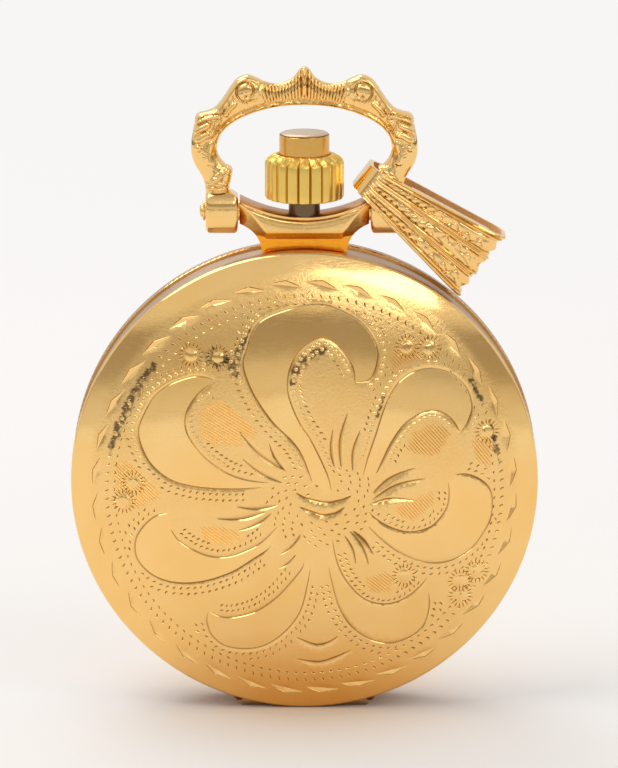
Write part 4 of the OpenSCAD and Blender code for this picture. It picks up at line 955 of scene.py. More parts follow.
def stain_at(flat):
    amount = np.zeros(len(flat))
    for path, reach in STAINS:
        amount = np.maximum(amount, np.exp(-(distance_to(through(path, 0.2), flat) / reach) ** 2))
    return amount


def on_petal(petals, at):
    return any(inside(petal, at[None])[0] for petal in petals)


def border(engraving, case, drop=0.0):
    """Bright lozenges round the rim, a thin dark line outside each, and two rings of punch marks inside."""
    half = LOZENGE_LONG / 2 / case.border_radius
    for i in range(case.border_cuts):
        middle = (i + 0.5) * 2 * math.pi / case.border_cuts
        rows = {0: [], LOZENGE_WIDE * 0.56: []}
        for k in range(13):
            t = -1 + k / 6
            a = middle + t * half
            for off, row in rows.items():
                r = case.border_radius + LOZENGE_SLANT * t + off * (1 - abs(t))
                row.append((r * math.cos(a), r * math.sin(a) - drop))
        lozenge, line = rows.values()
        reach = LOZENGE_LONG / 2
        engraving.cut(lozenge, LOZENGE_WIDE, 0.12, (reach, reach), 0.1, 1, 0.1)
        engraving.cut(line[1:-1], 0.06, 0.03, (0.3, 0.3), 0, 1, 1)
    for ring, count, lean, length in ((0.62, 140, 0.5, 0.32), (1.08, 136, 1.3, 0.24)):
        r = case.border_radius - ring
        for i in range(count):
            a = i * 2 * math.pi / count
            engraving.comma(np.array((r * math.cos(a), r * math.sin(a) - drop)), a + lean, length)


def within_rim(points):
    """Which of the points the engraving may reach."""
    return np.linalg.norm(points, axis=1) < CASE_R - 0.35


def front_pattern(case):
    """A wheel of comma petals with spears between them, in a border of bright cuts."""
    chance = random.Random(7)
    e = Engraving(within_rim)
    petals = []
    for outer, inner in PETALS:
        a, b = through(outer, 0.16), through(inner, 0.16)
        petals.append(np.concatenate([a, b[::-1]]))
        e.cut(a, case.cut_width, case.cut_depth, (1.0, 1.6), 0.5, dirt=0.75)
        e.cut(b, case.cut_width, case.cut_depth, (1.0, 1.6), -0.5, dirt=0.75)
    for a, b in SPEARS:
        a, b = np.array(a), np.array(b)
        bow_out = np.array([-(b - a)[1], (b - a)[0]]) * 0.06
        e.cut(through([a, (a + b) / 2 + bow_out, b], 0.2), 0.42, 0.12, (1.1, 1.8), 0.4, dirt=0.8)
    for row in CRESCENTS:
        e.cut(through(row, 0.2), 0.38, 0.1, (1.2, 1.2), 0.4, dirt=0.8)
    for x, y in BERRIES:
        e.bead((x, y), BERRY_R, BERRY_HEIGHT, 14)
        for k in range(BERRY_RAYS):
            a = 2 * math.pi * (k + 0.5) / BERRY_RAYS
            ray = [(x + r * math.cos(a), y + r * math.sin(a)) for r in (0.46, 0.55, 0.65, 0.75, 0.85)]
            e.cut(ray, 0.09, 0.05, (0.05, 0.3), 0, dirt=1)
    border(e, case, BORDER_DROP)
    for region, degrees in HATCHED:
        e.hatch(region, math.radians(degrees), 0.6 if np.mean(region, axis=0)[1] > 0 else 0.4)
    # rows of beads and punch marks along both sides of each petal
    for outer, inner in PETALS:
        for edge, off in ((outer, -0.34), (outer, -0.72), (inner, 0.34), (inner, 0.7)):
            row = through(edge, 0.4)[2:-3]
            for p, t, s in zip(row, *tangents(row)):
                at = p + s * off if signed_area(outer) > 0 else p - s * off
                if on_petal(petals, at) or e.occupied(at, 0.17):
                    continue
                if stain_at(at[None])[0] > 0.3 or (abs(off) < 0.5 and at[1] > BEADS_ABOVE):
                    e.bead(at, 0.15, 0.05, 7)
                else:
                    e.comma(at, math.atan2(t[1], t[0]) + chance.uniform(0.3, 1.1), 0.26)
    # punch marks all round the heart of the flower
    for k in range(HEART_MARKS):
        a, r = k * GOLDEN_ANGLE, 0.9 + 2.0 * math.sqrt(k / HEART_MARKS)
        at = np.array((HEART[0] + 1.25 * r * math.cos(a), HEART[1] + 0.95 * r * math.sin(a)))
        if not on_petal(petals, at) and not e.occupied(at, 0.13):
            e.comma(at, a + 1.2, 0.24)
    # the left border's stain has a row of its own beads
    for at in through(STAINS[3][0], 0.36):
        if not e.occupied(at, 0.16):
            e.bead(at, 0.16, 0.05, 7)
    return e, petals


def rear_pattern(case):
    """A plain rosette of paired leaves in the same border."""
    e = Engraving(within_rim)
    petals = []
    for i in range(LEAF_PAIRS):
        turn = i * 2 * math.pi / LEAF_PAIRS
        c, s = math.cos(turn), math.sin(turn)

        def turned_by(points):
            return [(c * x - s * y, s * x + c * y) for x, y in points]

        outer = turned_by([(1.3, 0.2), (3.6, 1.6), (6.4, 2.6), (9.0, 2.4), (10.6, 1.0), (10.4, -0.5),
                           (9.4, -0.9)])
        inner = turned_by([(1.3, 0.2), (3.8, 0.4), (6.2, 0.8), (8.2, 0.7), (9.2, -0.1), (9.4, -0.9)])
        a, b = through(outer, 0.16), through(inner, 0.16)
        petals.append(np.concatenate([a, b[::-1]]))
        e.cut(a, case.cut_width, case.cut_depth, (1.4, 1.0), 0.3)
        e.cut(b, case.cut_width, case.cut_depth, (1.4, 1.0), -0.3)
        e.cut(through(turned_by([(2.6, -0.3), (4.4, -0.35), (6.0, -0.2)]), 0.2), 0.3, 0.08, (1.0, 1.6), 0.3)
        for k in range(14):
            r = 2.6 + 0.5 * k
            at = np.array(turned_by([(r, -0.95 - 0.1 * k)])[0])
            if not on_petal(petals, at) and not e.occupied(at, 0.17):
                e.comma(at, turn, 0.24)
    e.bead((0, 0), 0.8, 0.1, 24)
    border(e, case)
    return e, petals


COVER_STEPS = 240
COVER_THICK = 0.4
SKIN_R = CASE_R - 0.12
GROUND_STEP = 0.45
BARREL_R = 0.5
HINGE_GAP = 0.04


def cover_shell(name, front, height, crest):
    """The cover's wall and plain inside, notched for the hinge and open where the engraved skin goes."""
    outline = [(CASE_R - 0.06, BAND_Z), (CASE_R, BAND_Z + 0.06), (CASE_R, RIM_Z - 0.1),
               (CASE_R - 0.04, RIM_Z - 0.02), (SKIN_R, crest), (0, crest)]
    hollow = [(0, DOME_Z - COVER_THICK)]
    for k in range(1, 12):
        r = COVER_WALL * k / 11
        hollow.append((r, RIM_Z + float(height(r)) - COVER_THICK))
    hollow += [(COVER_WALL, BAND_Z)]
    shell = turned(name + "_shell", outline[::-1] + hollow[::-1], COVER_STEPS)
    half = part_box("front_hinge_pin" if front else "rear_hinge_pin")[1].x / MM + HINGE_GAP
    carve(shell, block((2 * half, 2.6, 1.56), (0, -CASE_R, BAND_Z - 0.23)))
    bm = bmesh.new()
    bm.from_mesh(shell.data)
    lid = [f for f in bm.faces if all(abs(v.co.z - crest) < 1e-4 for v in f.verts)]
    bmesh.ops.delete(bm, geom=lid, context="FACES")
    bmesh.ops.triangulate(bm, faces=bm.faces)
    bm.verts.ensure_lookup_table()
    points = [tuple(v.co) for v in bm.verts]
    faces = [tuple(v.index for v in f.verts) for f in bm.faces]
    bm.free()
    bpy.data.objects.remove(shell)
    return points, faces


def engraved_skin(engraving, shell_points, height, slope, crest):
    """The engraved face: plan points with their faces, places, true normals, depth and dirt."""
    edge = [(x, y) for x, y, z in shell_points if abs(z - crest) < 1e-4
            and abs(math.hypot(x, y) - SKIN_R) < 1e-3]
    boundary = sorted(edge, key=lambda p: math.atan2(p[1], p[0]))
    ground = []
    r = GROUND_STEP
    while r < SKIN_R - 0.25:
        ground += circle(r, max(6, int(2 * math.pi * r / 0.5)))
        r += GROUND_STEP
    flat, faces, depth, dirty = engraved_faces(engraving, boundary, ground)
    radius = np.linalg.norm(flat, axis=1)
    points = np.column_stack([flat, RIM_Z + height(radius) - depth])
    tilt = slope(radius) / np.maximum(radius, 1e-9)
    normal = np.column_stack([-tilt * flat[:, 0], -tilt * flat[:, 1], np.ones(len(flat))])
    normal /= np.linalg.norm(normal, axis=1)[:, None]
    return flat, faces, points, normal, depth, dirty


def joined_to_shell(points, shell_points, shell_faces, crest):
    """The shell's own points and its faces, renumbered so that skin and shell share the edge."""
    key_of = {}
    for i, p in enumerate(points):
        if math.hypot(p[0], p[1]) > SKIN_R - 0.01:
            key_of[round(p[0], 3), round(p[1], 3)] = i
    number = {}
    extra = []
    for i, p in enumerate(shell_points):
        key = (round(p[0], 3), round(p[1], 3))
        if abs(p[2] - crest) < 1e-3 and key in key_of:
            number[i] = key_of[key]
        else:
            number[i] = len(points) + len(extra)
            extra.append(p)
    return extra, [tuple(number[v] for v in f) for f in shell_faces]


def make_cover(name, pattern, front):
    """A domed cover in one mesh: engraved outside, plain inside, with its rim notched for the hinge."""
    case = bpy.context.scene.watch_case
    height, slope = dome_profile(DOME_Z - RIM_Z, case.rim_round)
    crest = RIM_Z + float(height(SKIN_R))
    shell_points, shell_faces = cover_shell(name, front, height, crest)
    engraving, petals = pattern(case)
    flat, faces, points, normal, depth, dirty = engraved_skin(engraving, shell_points, height, slope, crest)
    is_ground = (np.abs(depth[np.array(faces)]) < 1e-5).all(axis=1)
    extra, more_faces = joined_to_shell(points, shell_points, shell_faces, crest)
    points = np.vstack([points, np.array(extra)])
    faces = faces + more_faces
    is_ground = np.concatenate([is_ground, np.zeros(len(more_faces), bool)])
    normals = corner_normals(points, faces, is_ground, normal)
    turn = DIAL_FRAME if front else Matrix.Rotation(math.pi, 4, "Z") @ DIAL_FRAME
    spin = turn.to_3x3().normalized()
    o = mesh_object(name, [turn @ Vector(p) for p in points], (), faces)
    o.data.polygons.foreach_set("use_smooth", [True] * len(faces))
    o.data.normals_split_custom_set([tuple(spin @ Vector(n)) for n in normals])
    middles = [np.mean([points[v] for v in f], axis=0) for f in faces]
    wall = [int(math.hypot(x, y) > CASE_R - 0.03 and z < RIM_Z - 0.09) for x, y, z in middles]
    o.data.materials.append(bpy.data.materials["engraved_gold"])
    o.data.materials.append(bpy.data.materials["reeded_gold"])
    o.data.polygons.foreach_set("material_index", wall)
    # what the engraved gold reads from the mesh, with the value that holds on the shell
    radius = np.linalg.norm(flat, axis=1)
    polish = np.clip((radius - case.border_radius - 0.3) / 0.3, 0, 1)
    for petal in petals:
        polish = np.maximum(polish, inside(petal, flat))
    polish = np.maximum(polish, np.clip(np.abs(depth) / 0.03, 0, 1))
    stain = np.zeros(len(flat))
    if front:
        stain = stain_at(flat) * (1 - inside(petals[0], flat)) * np.clip((CASE_R - 1.7 - radius) / 0.3, 0, 1)
    raised = np.clip(-depth / 0.04, 0, 1)
    for label, values, beyond in (("cut", dirty, 0), ("polish", polish, 1), ("stain", stain, 0),
                                  ("raised", raised, 0)):
        layer = o.data.attributes.new(label, "FLOAT", "POINT")
        layer.data.foreach_set("value",
                               np.concatenate([values, np.full(len(extra), beyond)]).astype(np.float32))
    return o


class WATCH_OT_covers(bpy.types.Operator):
    """Adds the engraved front cover and the rear cover"""

    bl_idname = "watch.covers"
    bl_label = "Covers"

    def execute(self, context):
        engraved_gold(context.scene.watch_look)
        for node, pattern, front in (("front_cover", front_pattern, True),
                                     ("rear_cover", rear_pattern, False)):
            o = make_cover(node + "_engraved", pattern, front)
            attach(o, node)
            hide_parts(node)
            barrels = hinge_barrels(node, front)
            barrels.data.materials.append(bpy.data.materials["polished_gold"])
            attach(barrels, node)
        return {"FINISHED"}


def hinge_barrels(node, front):
    """The cover's two barrels, each with the small web that joins it to the rim."""
    low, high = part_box("front_hinge_pin" if front else "rear_hinge_pin")
    middle = (low + high) / 2 / MM
    knuckle = (high.x - low.x) / MM / 5
    side = -1 if front else 1
    pieces = []
    for k in (1, 3):
        x = low.x / MM + (k + 0.5) * knuckle
        pieces.append(bevel(rod(BARREL_R, knuckle - HINGE_GAP, (x, middle.y, middle.z), sides=40), 0.05))
        pieces.append(block((knuckle - HINGE_GAP, 0.8, 0.8), (x, middle.y + side * 0.45, middle.z + 0.5)))
    o = joined(node + "_hinge_barrels", pieces)
    o.data.transform(Matrix.Scale(MM, 4))
    return smooth(o)


# The cast bow


# Its outer and inner outline, each from the middle of the arch down to the foot, point against point
BOW_OUTER = [(0, 25.75), (0.26, 25.62), (0.68, 25.08), (1.3, 24.75), (1.9, 24.7), (2.5, 24.84), (3.0, 25.08),
             (3.55, 25.24), (4.1, 25.03), (4.5, 24.57), (4.85, 24.03), (5.2, 23.54), (5.6, 23.16),
             (6.05, 22.97), (6.5, 22.86), (6.73, 22.58), (6.77, 22.2), (6.87, 21.72), (6.97, 21.18),
             (7.0, 20.65), (6.93, 20.1), (6.74, 19.6), (6.5, 19.2), (6.3, 18.85), (6.18, 18.5), (6.13, 18.2),
             (6.1, 17.9)]
BOW_INNER = [(0, 23.34), (0.3, 23.33), (0.75, 23.32), (1.2, 23.28), (1.7, 23.22), (2.2, 23.12), (2.65, 23.0),
             (3.1, 22.86), (3.5, 22.7), (3.85, 22.55), (4.2, 22.36), (4.5, 22.16), (4.75, 21.97),
             (4.95, 21.75), (5.15, 21.5), (5.27, 21.25), (5.34, 21.0), (5.38, 20.76), (5.38, 20.52),
             (5.3, 20.23), (5.12, 19.93), (4.85, 19.64), (4.58, 19.53), (4.42, 19.25), (4.5, 18.8),
             (4.6, 18.35), (4.6, 17.95)]
BOW_HALF_DEPTH = [(0, 0.5), (8, 0.56), (16, 0.64), (22, 0.68), (26, 0.8)]
# Raised strokes on each half of the bow: a path, half its width and its height, in millimetres
BOW_STROKES = [
    ([(2.85, 24.95), (3.35, 25.1), (3.85, 25.0), (4.25, 24.7), (4.6, 24.2), (4.95, 23.7), (5.3, 23.3),
      (5.6, 23.05)],
     0.26, 0.13),
    ([(5.45, 23.0), (5.95, 22.86), (6.4, 22.76), (6.62, 22.62)], 0.2, 0.15),
    ([(5.3, 22.75), (5.75, 22.7), (6.25, 22.5), (6.6, 22.3)], 0.16, 0.13),
    ([(5.95, 22.15), (6.3, 21.98), (6.62, 21.78)], 0.21, 0.15),
    ([(5.75, 21.6), (6.1, 21.5), (6.5, 21.25)], 0.2, 0.12),
    ([(5.2, 22.5), (5.45, 22.2), (5.6, 21.8)], 0.12, 0.09),
    ([(4.3, 23.45), (4.6, 23.2), (4.85, 22.85)], 0.15, 0.12),
    ([(4.72, 23.55), (4.98, 23.25), (5.15, 22.9)], 0.12, 0.1),
    ([(5.75, 20.9), (5.95, 20.4), (5.85, 19.9)], 0.24, 0.08),
    ([(5.0, 19.25), (5.35, 19.0), (5.6, 18.7)], 0.13, 0.1),
]
# Dark cuts between them: a path, half its width and its depth
BOW_CUTS = [
    ([(5.2, 22.88), (5.75, 22.82), (6.3, 22.66), (6.7, 22.42)], 0.05, 0.1),
    ([(5.5, 22.4), (5.95, 22.42), (6.4, 22.26), (6.75, 22.05)], 0.07, 0.12),
    ([(5.62, 22.2), (5.75, 21.95), (5.85, 21.7)], 0.12, 0.14),
    ([(6.1, 21.82), (6.4, 21.72), (6.75, 21.5)], 0.05, 0.1),
    ([(5.7, 21.25), (6.1, 21.15), (6.6, 20.98)], 0.05, 0.08),
    ([(4.55, 23.62), (4.85, 23.3), (5.05, 22.85)], 0.05, 0.09),
    ([(5.3, 20.1), (5.1, 19.6), (5.15, 19.2), (5.45, 18.95)], 0.08, 0.09),
    ([(6.1, 20.4), (6.25, 20.05)], 0.04, 0.06),
]
# Beads: their middle, radius and height
BOW_BEADS = [((6.55, 20.72), 0.24, 0.22), ((4.62, 19.3), 0.27, 0.2), ((2.72, 24.3), 0.14, 0.1),
             ((2.78, 24.0), 0.12, 0.09), ((2.9, 24.62), 0.15, 0.1), ((6.55, 22.72), 0.16, 0.1)]
VOLUTE = (3.56, 24.3)
VOLUTE_R = 0.84
VOLUTE_TURNS = 1.15
FAN_REACH = 2.65
FAN_PITCH = 0.225
RAIL_WIDE = 0.32
BOW_PIVOT = 16.7
FOOT_X = 5.1
FOOT_WIDE = 2.0
FOOT_R = 1.38
FOOT_DEEP = 2.1
FOOT_BORE = 0.53


def dome(distance, width, height):
    """Height of a rounded ridge or bead at a distance from its middle."""
    return height * np.sqrt(np.clip(1 - (distance / width) ** 2, 0, 1))


def bow_relief(flat, from_inner, width):
    """Height of the cast ornament over the bow's plain section at plan points."""
    x, y = np.abs(flat[:, 0]), flat[:, 1]
    half = np.column_stack([x, y])
    lift = np.zeros(len(flat))
    for path, wide, high in BOW_STROKES:
        lift = np.maximum(lift, dome(distance_to(through(path, 0.1), half), wide * 1.15, high * 1.45))
    for path, wide, deep in BOW_CUTS:
        lift -= dome(distance_to(through(path, 0.1), half), wide * 1.25, deep)
    for middle, radius, high in BOW_BEADS:
        lift = np.maximum(lift, dome(np.linalg.norm(half - middle, axis=1), radius, high))
    # the volute is a smooth disc with a spiral line cut into it
    near = np.linalg.norm(half - VOLUTE, axis=1)
    lift = np.where(near < VOLUTE_R, np.maximum(lift, dome(near, VOLUTE_R, 0.2)), lift)
    turns = np.linspace(0, VOLUTE_TURNS * 2 * math.pi, 60)
    reach = 0.74 - 0.42 * turns / turns[-1]
    spiral = np.column_stack([VOLUTE[0] - reach * np.cos(turns + 0.9),
                              VOLUTE[1] - reach * np.sin(turns + 0.9)])
    lift -= dome(distance_to(spiral, half), 0.085, 0.15)
    # the fan of ribs between the volutes is cut below the plain rail along the inner edge
    side = np.clip((FAN_REACH - x) / 0.25, 0, 1)
    bottom = np.clip((from_inner - RAIL_WIDE - 0.06) / 0.1, 0, 1)
    top = np.clip((width - from_inner - 0.03) / 0.12, 0, 1)
    fan = side * bottom * top
    spread = x / (0.8 + 0.09 * (y - 23.3))
    ribs = np.abs(np.sin(math.pi * spread / FAN_PITCH))
    lift = lift * (1 - fan) - fan * (0.16 - 0.13 * np.sqrt(ribs))
    spine = dome(x, 0.15, 0.22) * np.clip((y - 23.7) / 0.5, 0, 1)
    lift = np.where(spine > 0, np.maximum(lift, spine - 0.1), lift)
    rail_line = np.clip((y - 21.2) / 0.6, 0, 1)
    lift = np.where(from_inner < RAIL_WIDE, np.maximum(lift, 0) * (1 - rail_line) + 0.05 * rail_line, lift)
    lift -= dome(from_inner - RAIL_WIDE - 0.02, 0.1, 0.1) * rail_line
    for ring, wave in ((18.5, 0.3), (18.2, 1.4)):
        line = y - ring - 0.035 * np.sin(9 * x + wave)
        lift = np.where(np.abs(line) < 0.12, np.maximum(lift, 0) + dome(line, 0.12, 0.1), lift)
    return lift


def make_bow():
    """The bow's arch as one cast section swept between its outlines, with its two feet joined on."""
    steps, ring = 18, 64
    whole = []
    for outline in (BOW_OUTER, BOW_INNER):
        half = smoothed(outline, steps, np.array(outline[1]) * (-1, 1))
        whole.append(np.concatenate([half[:0:-1] * (-1, 1), half]))
    outer, inner = whole
    station = np.abs(np.arange(len(outer)) - len(outer) // 2) / steps
    depth = np.interp(station, [p[0] for p in BOW_HALF_DEPTH], [p[1] for p in BOW_HALF_DEPTH])
    width = np.linalg.norm(outer - inner, axis=1)
    points = []
    for k in range(ring):
        turn = 2 * math.pi * k / ring
        across = 0.5 - 0.5 * math.cos(turn)
        flat = inner + (outer - inner) * across
        rise = abs(math.sin(turn)) ** 0.7
        lift = bow_relief(flat, across * width, width) * min(1, rise * 1.6)
        z = math.copysign(1, math.sin(turn)) * (depth * rise + lift) if k % (ring // 2) else 0 * depth
        points.append(np.column_stack([flat, z]))
    rows = np.stack(points, axis=1)
    count = len(rows)
    faces = []
    for i in range(count - 1):
        for k in range(ring):
            a, b = i * ring + k, i * ring + (k + 1) % ring
            faces.append((a, a + ring, b + ring, b))
    faces += [tuple(range(ring)), tuple(range(count * ring - 1, (count - 1) * ring - 1, -1))]
    arch = mesh_object("bow_arch", rows.reshape(-1, 3), (), faces)
    face_outwards()
    smooth(arch, 60)
    pieces = [arch]
    for side in (-1, 1):
        foot = make_bow_foot(side)
        carve(foot, rod(FOOT_BORE, FOOT_WIDE + 1, (side * FOOT_X, BOW_PIVOT, 0)))
        pieces.append(smooth(foot, 35))
    return place(joined("bow_cast", pieces), DIAL_FRAME)


def make_bow_foot(side):
    """A block with a rounded front and back, and a slanting shoulder towards the crown."""
    around = 72
    inner_x = FOOT_X - FOOT_WIDE / 2
    corner = [(0, 0.8), (0.02, 0.86), (0.06, 0.92), (0.12, 0.97), (0.2, 1)]
    stations = corner + [(0.3, 1), (0.42, 1), (0.55, 1), (0.9, 1), (1.4, 1)]
    stations += [(FOOT_WIDE - along, share) for along, share in corner[::-1]]
    points = []
    for along, share in stations:
        for k in range(around):
            a = 2 * math.pi * k / around
            up, out = math.sin(a), math.cos(a)
            y = FOOT_R * share * math.copysign(abs(up) ** 0.8, up)
            z = FOOT_DEEP / 2 * share * math.copysign(abs(out) ** 0.8, out)
            y = min(y, FOOT_R - 0.42 * max(0, 1 - along / 0.55))
            points.append((side * (inner_x + along), BOW_PIVOT + y, z))
    faces = []
    for i in range(len(stations) - 1):
        for k in range(around):
            a, b = i * around + k, i * around + (k + 1) % around
            faces.append((a, b, b + around, a + around))
    faces += [tuple(range(around)), tuple(range(len(points) - 1, len(points) - around - 1, -1))]
    foot = mesh_object("bow_foot", points, (), faces)
    face_outwards()
    return foot


class WATCH_OT_bow(bpy.types.Operator):
    """Adds the cast bow with its volutes, fan of ribs and leafy legs"""

    bl_idname = "watch.bow"
    bl_label = "Bow"

    def execute(self, context):
        o = make_bow()
        o.data.materials.append(bpy.data.materials["cast_gold"])
        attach(o, "bow")
        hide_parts("bow")
        o = make_bow_screws()
        o.data.materials.append(bpy.data.materials["polished_gold"])
        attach(o, "case")
        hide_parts("bow_screws")
        return {"FINISHED"}


def make_bow_screws():
    """Screws with a stepped, domed head that carry the bow's feet."""
    screws = []
    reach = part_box("bow_screws")[1].x / MM
    head = reach - 0.35
    for side in (-1, 1):
        outline = [(0, reach), (0.16, reach - 0.01), (0.3, reach - 0.05), (0.38, reach - 0.12),
                   (0.4, reach - 0.2), (0.56, reach - 0.2), (0.62, reach - 0.25), (0.62, head + 0.03),
                   (0.59, head), (0.49, head), (0.49, PENDANT_HALF + 0.095), (0.62, PENDANT_HALF + 0.09),
                   (0.62, PENDANT_HALF + 0.01), (0.49, PENDANT_HALF + 0.005), (0.49, 3.16), (0.45, 3.1),
                   (0, 3.1)]
        screw = smooth(turned("bow_screw", outline, 64), 35)
        carve(screw, block((0.14, 1, 0.2), (0, 0, reach)))
        turn = Matrix.Translation((0, BOW_PIVOT, 0)) @ Matrix.Rotation(side * math.pi / 2, 4, "Y")
        screws.append(place(screw, DIAL_FRAME @ turn))
    return smooth(joined("bow_screws_domed", screws), 35)


# The engraved bail


BAIL_START = (3.46, 19.14)
BAIL_SLOPE = math.radians(-37.5)
BAIL_LENGTH = 9.6
BAIL_NARROW = 1.7
BAIL_WIDE = 4.7
BAIL_HALF = 1.6
BAIL_SHEET = 0.35
BAIL_HEM = 0.16
HEM_START = 3.0
HEM_END = BAIL_LENGTH - 1.2
BAIL_TURN_BACK = 0.62
BAIL_RIBS = (-0.9, -0.32, 0.32, 0.9)


def bail_loop(inset, steps):
    """The strap's side view: a rounded loop, as points along it with their outward normals."""
    r = 1 - inset
    x0, x1, h = inset, BAIL_LENGTH - inset, BAIL_HALF - inset
    corners = [((x1 - r, h - r), 0), ((x0 + r, h - r), 90), ((x0 + r, r - h), 180), ((x1 - r, r - h), 270)]
    points, normals = [], []
    for (cx, cz), start in corners:
        for k in range(9):
            a = math.radians(start + 90 * k / 8)
            points.append((cx + r * math.cos(a), cz + r * math.sin(a)))
            normals.append((math.cos(a), math.sin(a)))
    out, out_normals = [], []
    for i in range(len(points)):
        p, q = np.array(points[i]), np.array(points[(i + 1) % len(points)])
        n, m = np.array(normals[i]), np.array(normals[(i + 1) % len(points)])
        parts = max(1, int(round(np.linalg.norm(q - p) / steps)))
        for k in range(parts):
            t = k / parts
            out.append(p + (q - p) * t)
            out_normals.append((n + (m - n) * t) / np.linalg.norm(n + (m - n) * t))
    return np.array(out), np.array(out_normals)


def bail_relief(along, across, half):
    """Height of the engraved fan at a place along the bail and across it, with half its width there."""
    share = across / half
    lift = np.zeros_like(share)
    near_tip = np.clip((along - 0.7) / 0.7, 0, 1)
    for low, high in zip(BAIL_RIBS[:-1], BAIL_RIBS[1:]):
        middle, reach = (low + high) / 2, (high - low) / 2 * half
        off = across - middle * half
        room = reach - 0.2
        inside_gore = np.clip((room - np.abs(off)) / 0.06, 0, 1)
        # a chain of punched scallops that grows and then fades into plain polished leaves
        chain = np.clip((6.4 - along) / 1.2, 0, 1)
        side = 0.45 * room * np.sin(along * 1.1 + 4 * middle)
        pitch = 0.36 + 0.02 * along
        turn = along / pitch + 2 * middle
        step = (turn - np.floor(turn) - 0.5) * pitch
        scallop = np.sqrt((step / (0.52 * pitch)) ** 2 + ((off - side) / 0.24) ** 2)
        lift += inside_gore * chain * (dome(scallop, 1, 0.09) - 0.05)
        gap = np.minimum(turn - np.floor(turn), np.ceil(turn) - turn) * pitch
        lift -= inside_gore * chain * dome(np.hypot(gap, off - side + 0.14), 0.085, 0.09)
        # long leaf cuts that lean away from the scallops
        lean = along - 1.6 * np.abs(off)
        leaf = lean / (0.85 + 0.06 * along) + 1.7 * middle
        saw = leaf - np.floor(leaf)
        blade = np.clip((np.abs(off - side) - 0.2) / 0.1, 0, 1) * np.clip((along - 2.4) / 1.5, 0, 1)
        lift += inside_gore * blade * (0.07 * np.where(saw < 0.85, saw / 0.85, (1 - saw) / 0.15) - 0.04)
        wriggle = dome(off - side - 0.16 * np.sin(along * 7), 0.05, 0.07)
        far = np.clip((along - 5.8) / 0.8, 0, 1) * np.clip((8.9 - along) / 0.4, 0, 1)
        lift -= inside_gore * far * wriggle
    lift = lift * near_tip
    for rib in BAIL_RIBS:
        off = across - rib * half
        spread = 0.085 + 0.003 * along
        double = np.maximum(dome(off - spread, 0.085, 0.1), dome(off + spread, 0.085, 0.1))
        lift = np.where(double > 0, np.maximum(lift, 0) * (1 - near_tip) + double * near_tip, lift)
        lift -= dome(np.abs(off) - spread - 0.12, 0.035, 0.05) * near_tip
    return lift


def make_bail():
    """A flat loop of sheet that widens along its length, with its engraving in the outer face."""
    across_steps = 72
    outer, normals = bail_loop(0, 0.07)
    inner = bail_loop(BAIL_SHEET, 0.07)[0]
    share = np.linspace(-1, 1, across_steps + 1)

    def half_width(along):
        return (BAIL_NARROW + (BAIL_WIDE - BAIL_NARROW) * np.clip(along / BAIL_LENGTH, 0, 1)) / 2

    points, faces = [], []
    for path, normal in zip(outer, normals):
        half = half_width(path[0])
        skew = 0.22 * np.clip((path[0] - BAIL_LENGTH + 0.6) / 0.6, 0, 1) * np.cos(share * 2.6 * math.pi) ** 2
        lift = bail_relief(np.full(len(share), path[0]), share * half, half) - 0.075
        edge = np.clip((1 - np.abs(share)) / 0.03, 0, 1)
        lift = lift * edge - 0.06 * (1 - edge)
        for s, up, back in zip(share, lift, skew):
            points.append((path[0] + normal[0] * up - back, s * half, path[1] + normal[1] * up))
    first_inner = len(points)
    for path in inner:
        half = half_width(path[0])
        for s in (-1, 1):
            points.append((path[0], s * half, path[1]))
    columns = across_steps + 1
    count, inner_count = len(outer), len(inner)
    for i in range(count):
        j = (i + 1) % count
        for k in range(across_steps):
            faces.append((i * columns + k, j * columns + k, j * columns + k + 1, i * columns + k + 1))
    for i in range(inner_count):
        j = (i + 1) % inner_count
        a, b = first_inner + 2 * i, first_inner + 2 * j
        faces.append((a, a + 1, b + 1, b))
    # the edges: each outer point is joined to the inner loop's nearest
    nearest = [int(np.argmin(np.linalg.norm(inner - p, axis=1))) for p in outer]
    nearest = np.unwrap(np.array(nearest) * 2 * math.pi / inner_count) * inner_count / (2 * math.pi)
    nearest = np.round(nearest).astype(int)
    for side, column in ((0, 0), (1, across_steps)):
        for i in range(count):
            j = (i + 1) % count
            a, b = i * columns + column, j * columns + column
            low = nearest[i]
            high = nearest[j] if j else nearest[0] + inner_count
            cells = [first_inner + 2 * (m % inner_count) + side for m in range(low, max(low, high) + 1)]
            face = [a, b] + cells[::-1]
            faces.append(tuple(face if side else face[::-1]))
    o = mesh_object("bail_engraved", points, (), faces)
    face_outwards()
    pieces = [smooth(o, 35)]
    for side in (-1, 1):
        corners = []
        for along in (HEM_START, HEM_END):
            edge = side * (half_width(along) - 0.02)
            for across in (edge, edge - side * BAIL_HEM):
                for z in (BAIL_HALF - 0.2, BAIL_HALF - BAIL_SHEET - BAIL_TURN_BACK):
                    corners.append((along, across, z))
        sides = [(0, 1, 3, 2), (4, 6, 7, 5), (0, 4, 5, 1), (2, 3, 7, 6), (0, 2, 6, 4), (1, 5, 7, 3)]
        hem = mesh_object("bail_hem", corners, (), sides)
        face_outwards()
        pieces.append(smooth(bevel(hem, 0.05)))
    o = joined("bail_engraved", pieces)
    # the loop's inner faces carry the second material, a dull brown copy of the gold that paints shade on the
    # closed-in inside
    inner_half = BAIL_HALF - BAIL_SHEET + 0.03
    for face in o.data.polygons:
        along, across, z = face.center
        if abs(across) < 0.1 and abs(z) < inner_half and 0 < along - BAIL_SHEET + 0.03 < BAIL_LENGTH:
            face.material_index = 1
    turn = Matrix.Translation((*BAIL_START, 0)) @ Matrix.Rotation(BAIL_SLOPE, 4, "Z")
    return place(o, DIAL_FRAME @ turn)


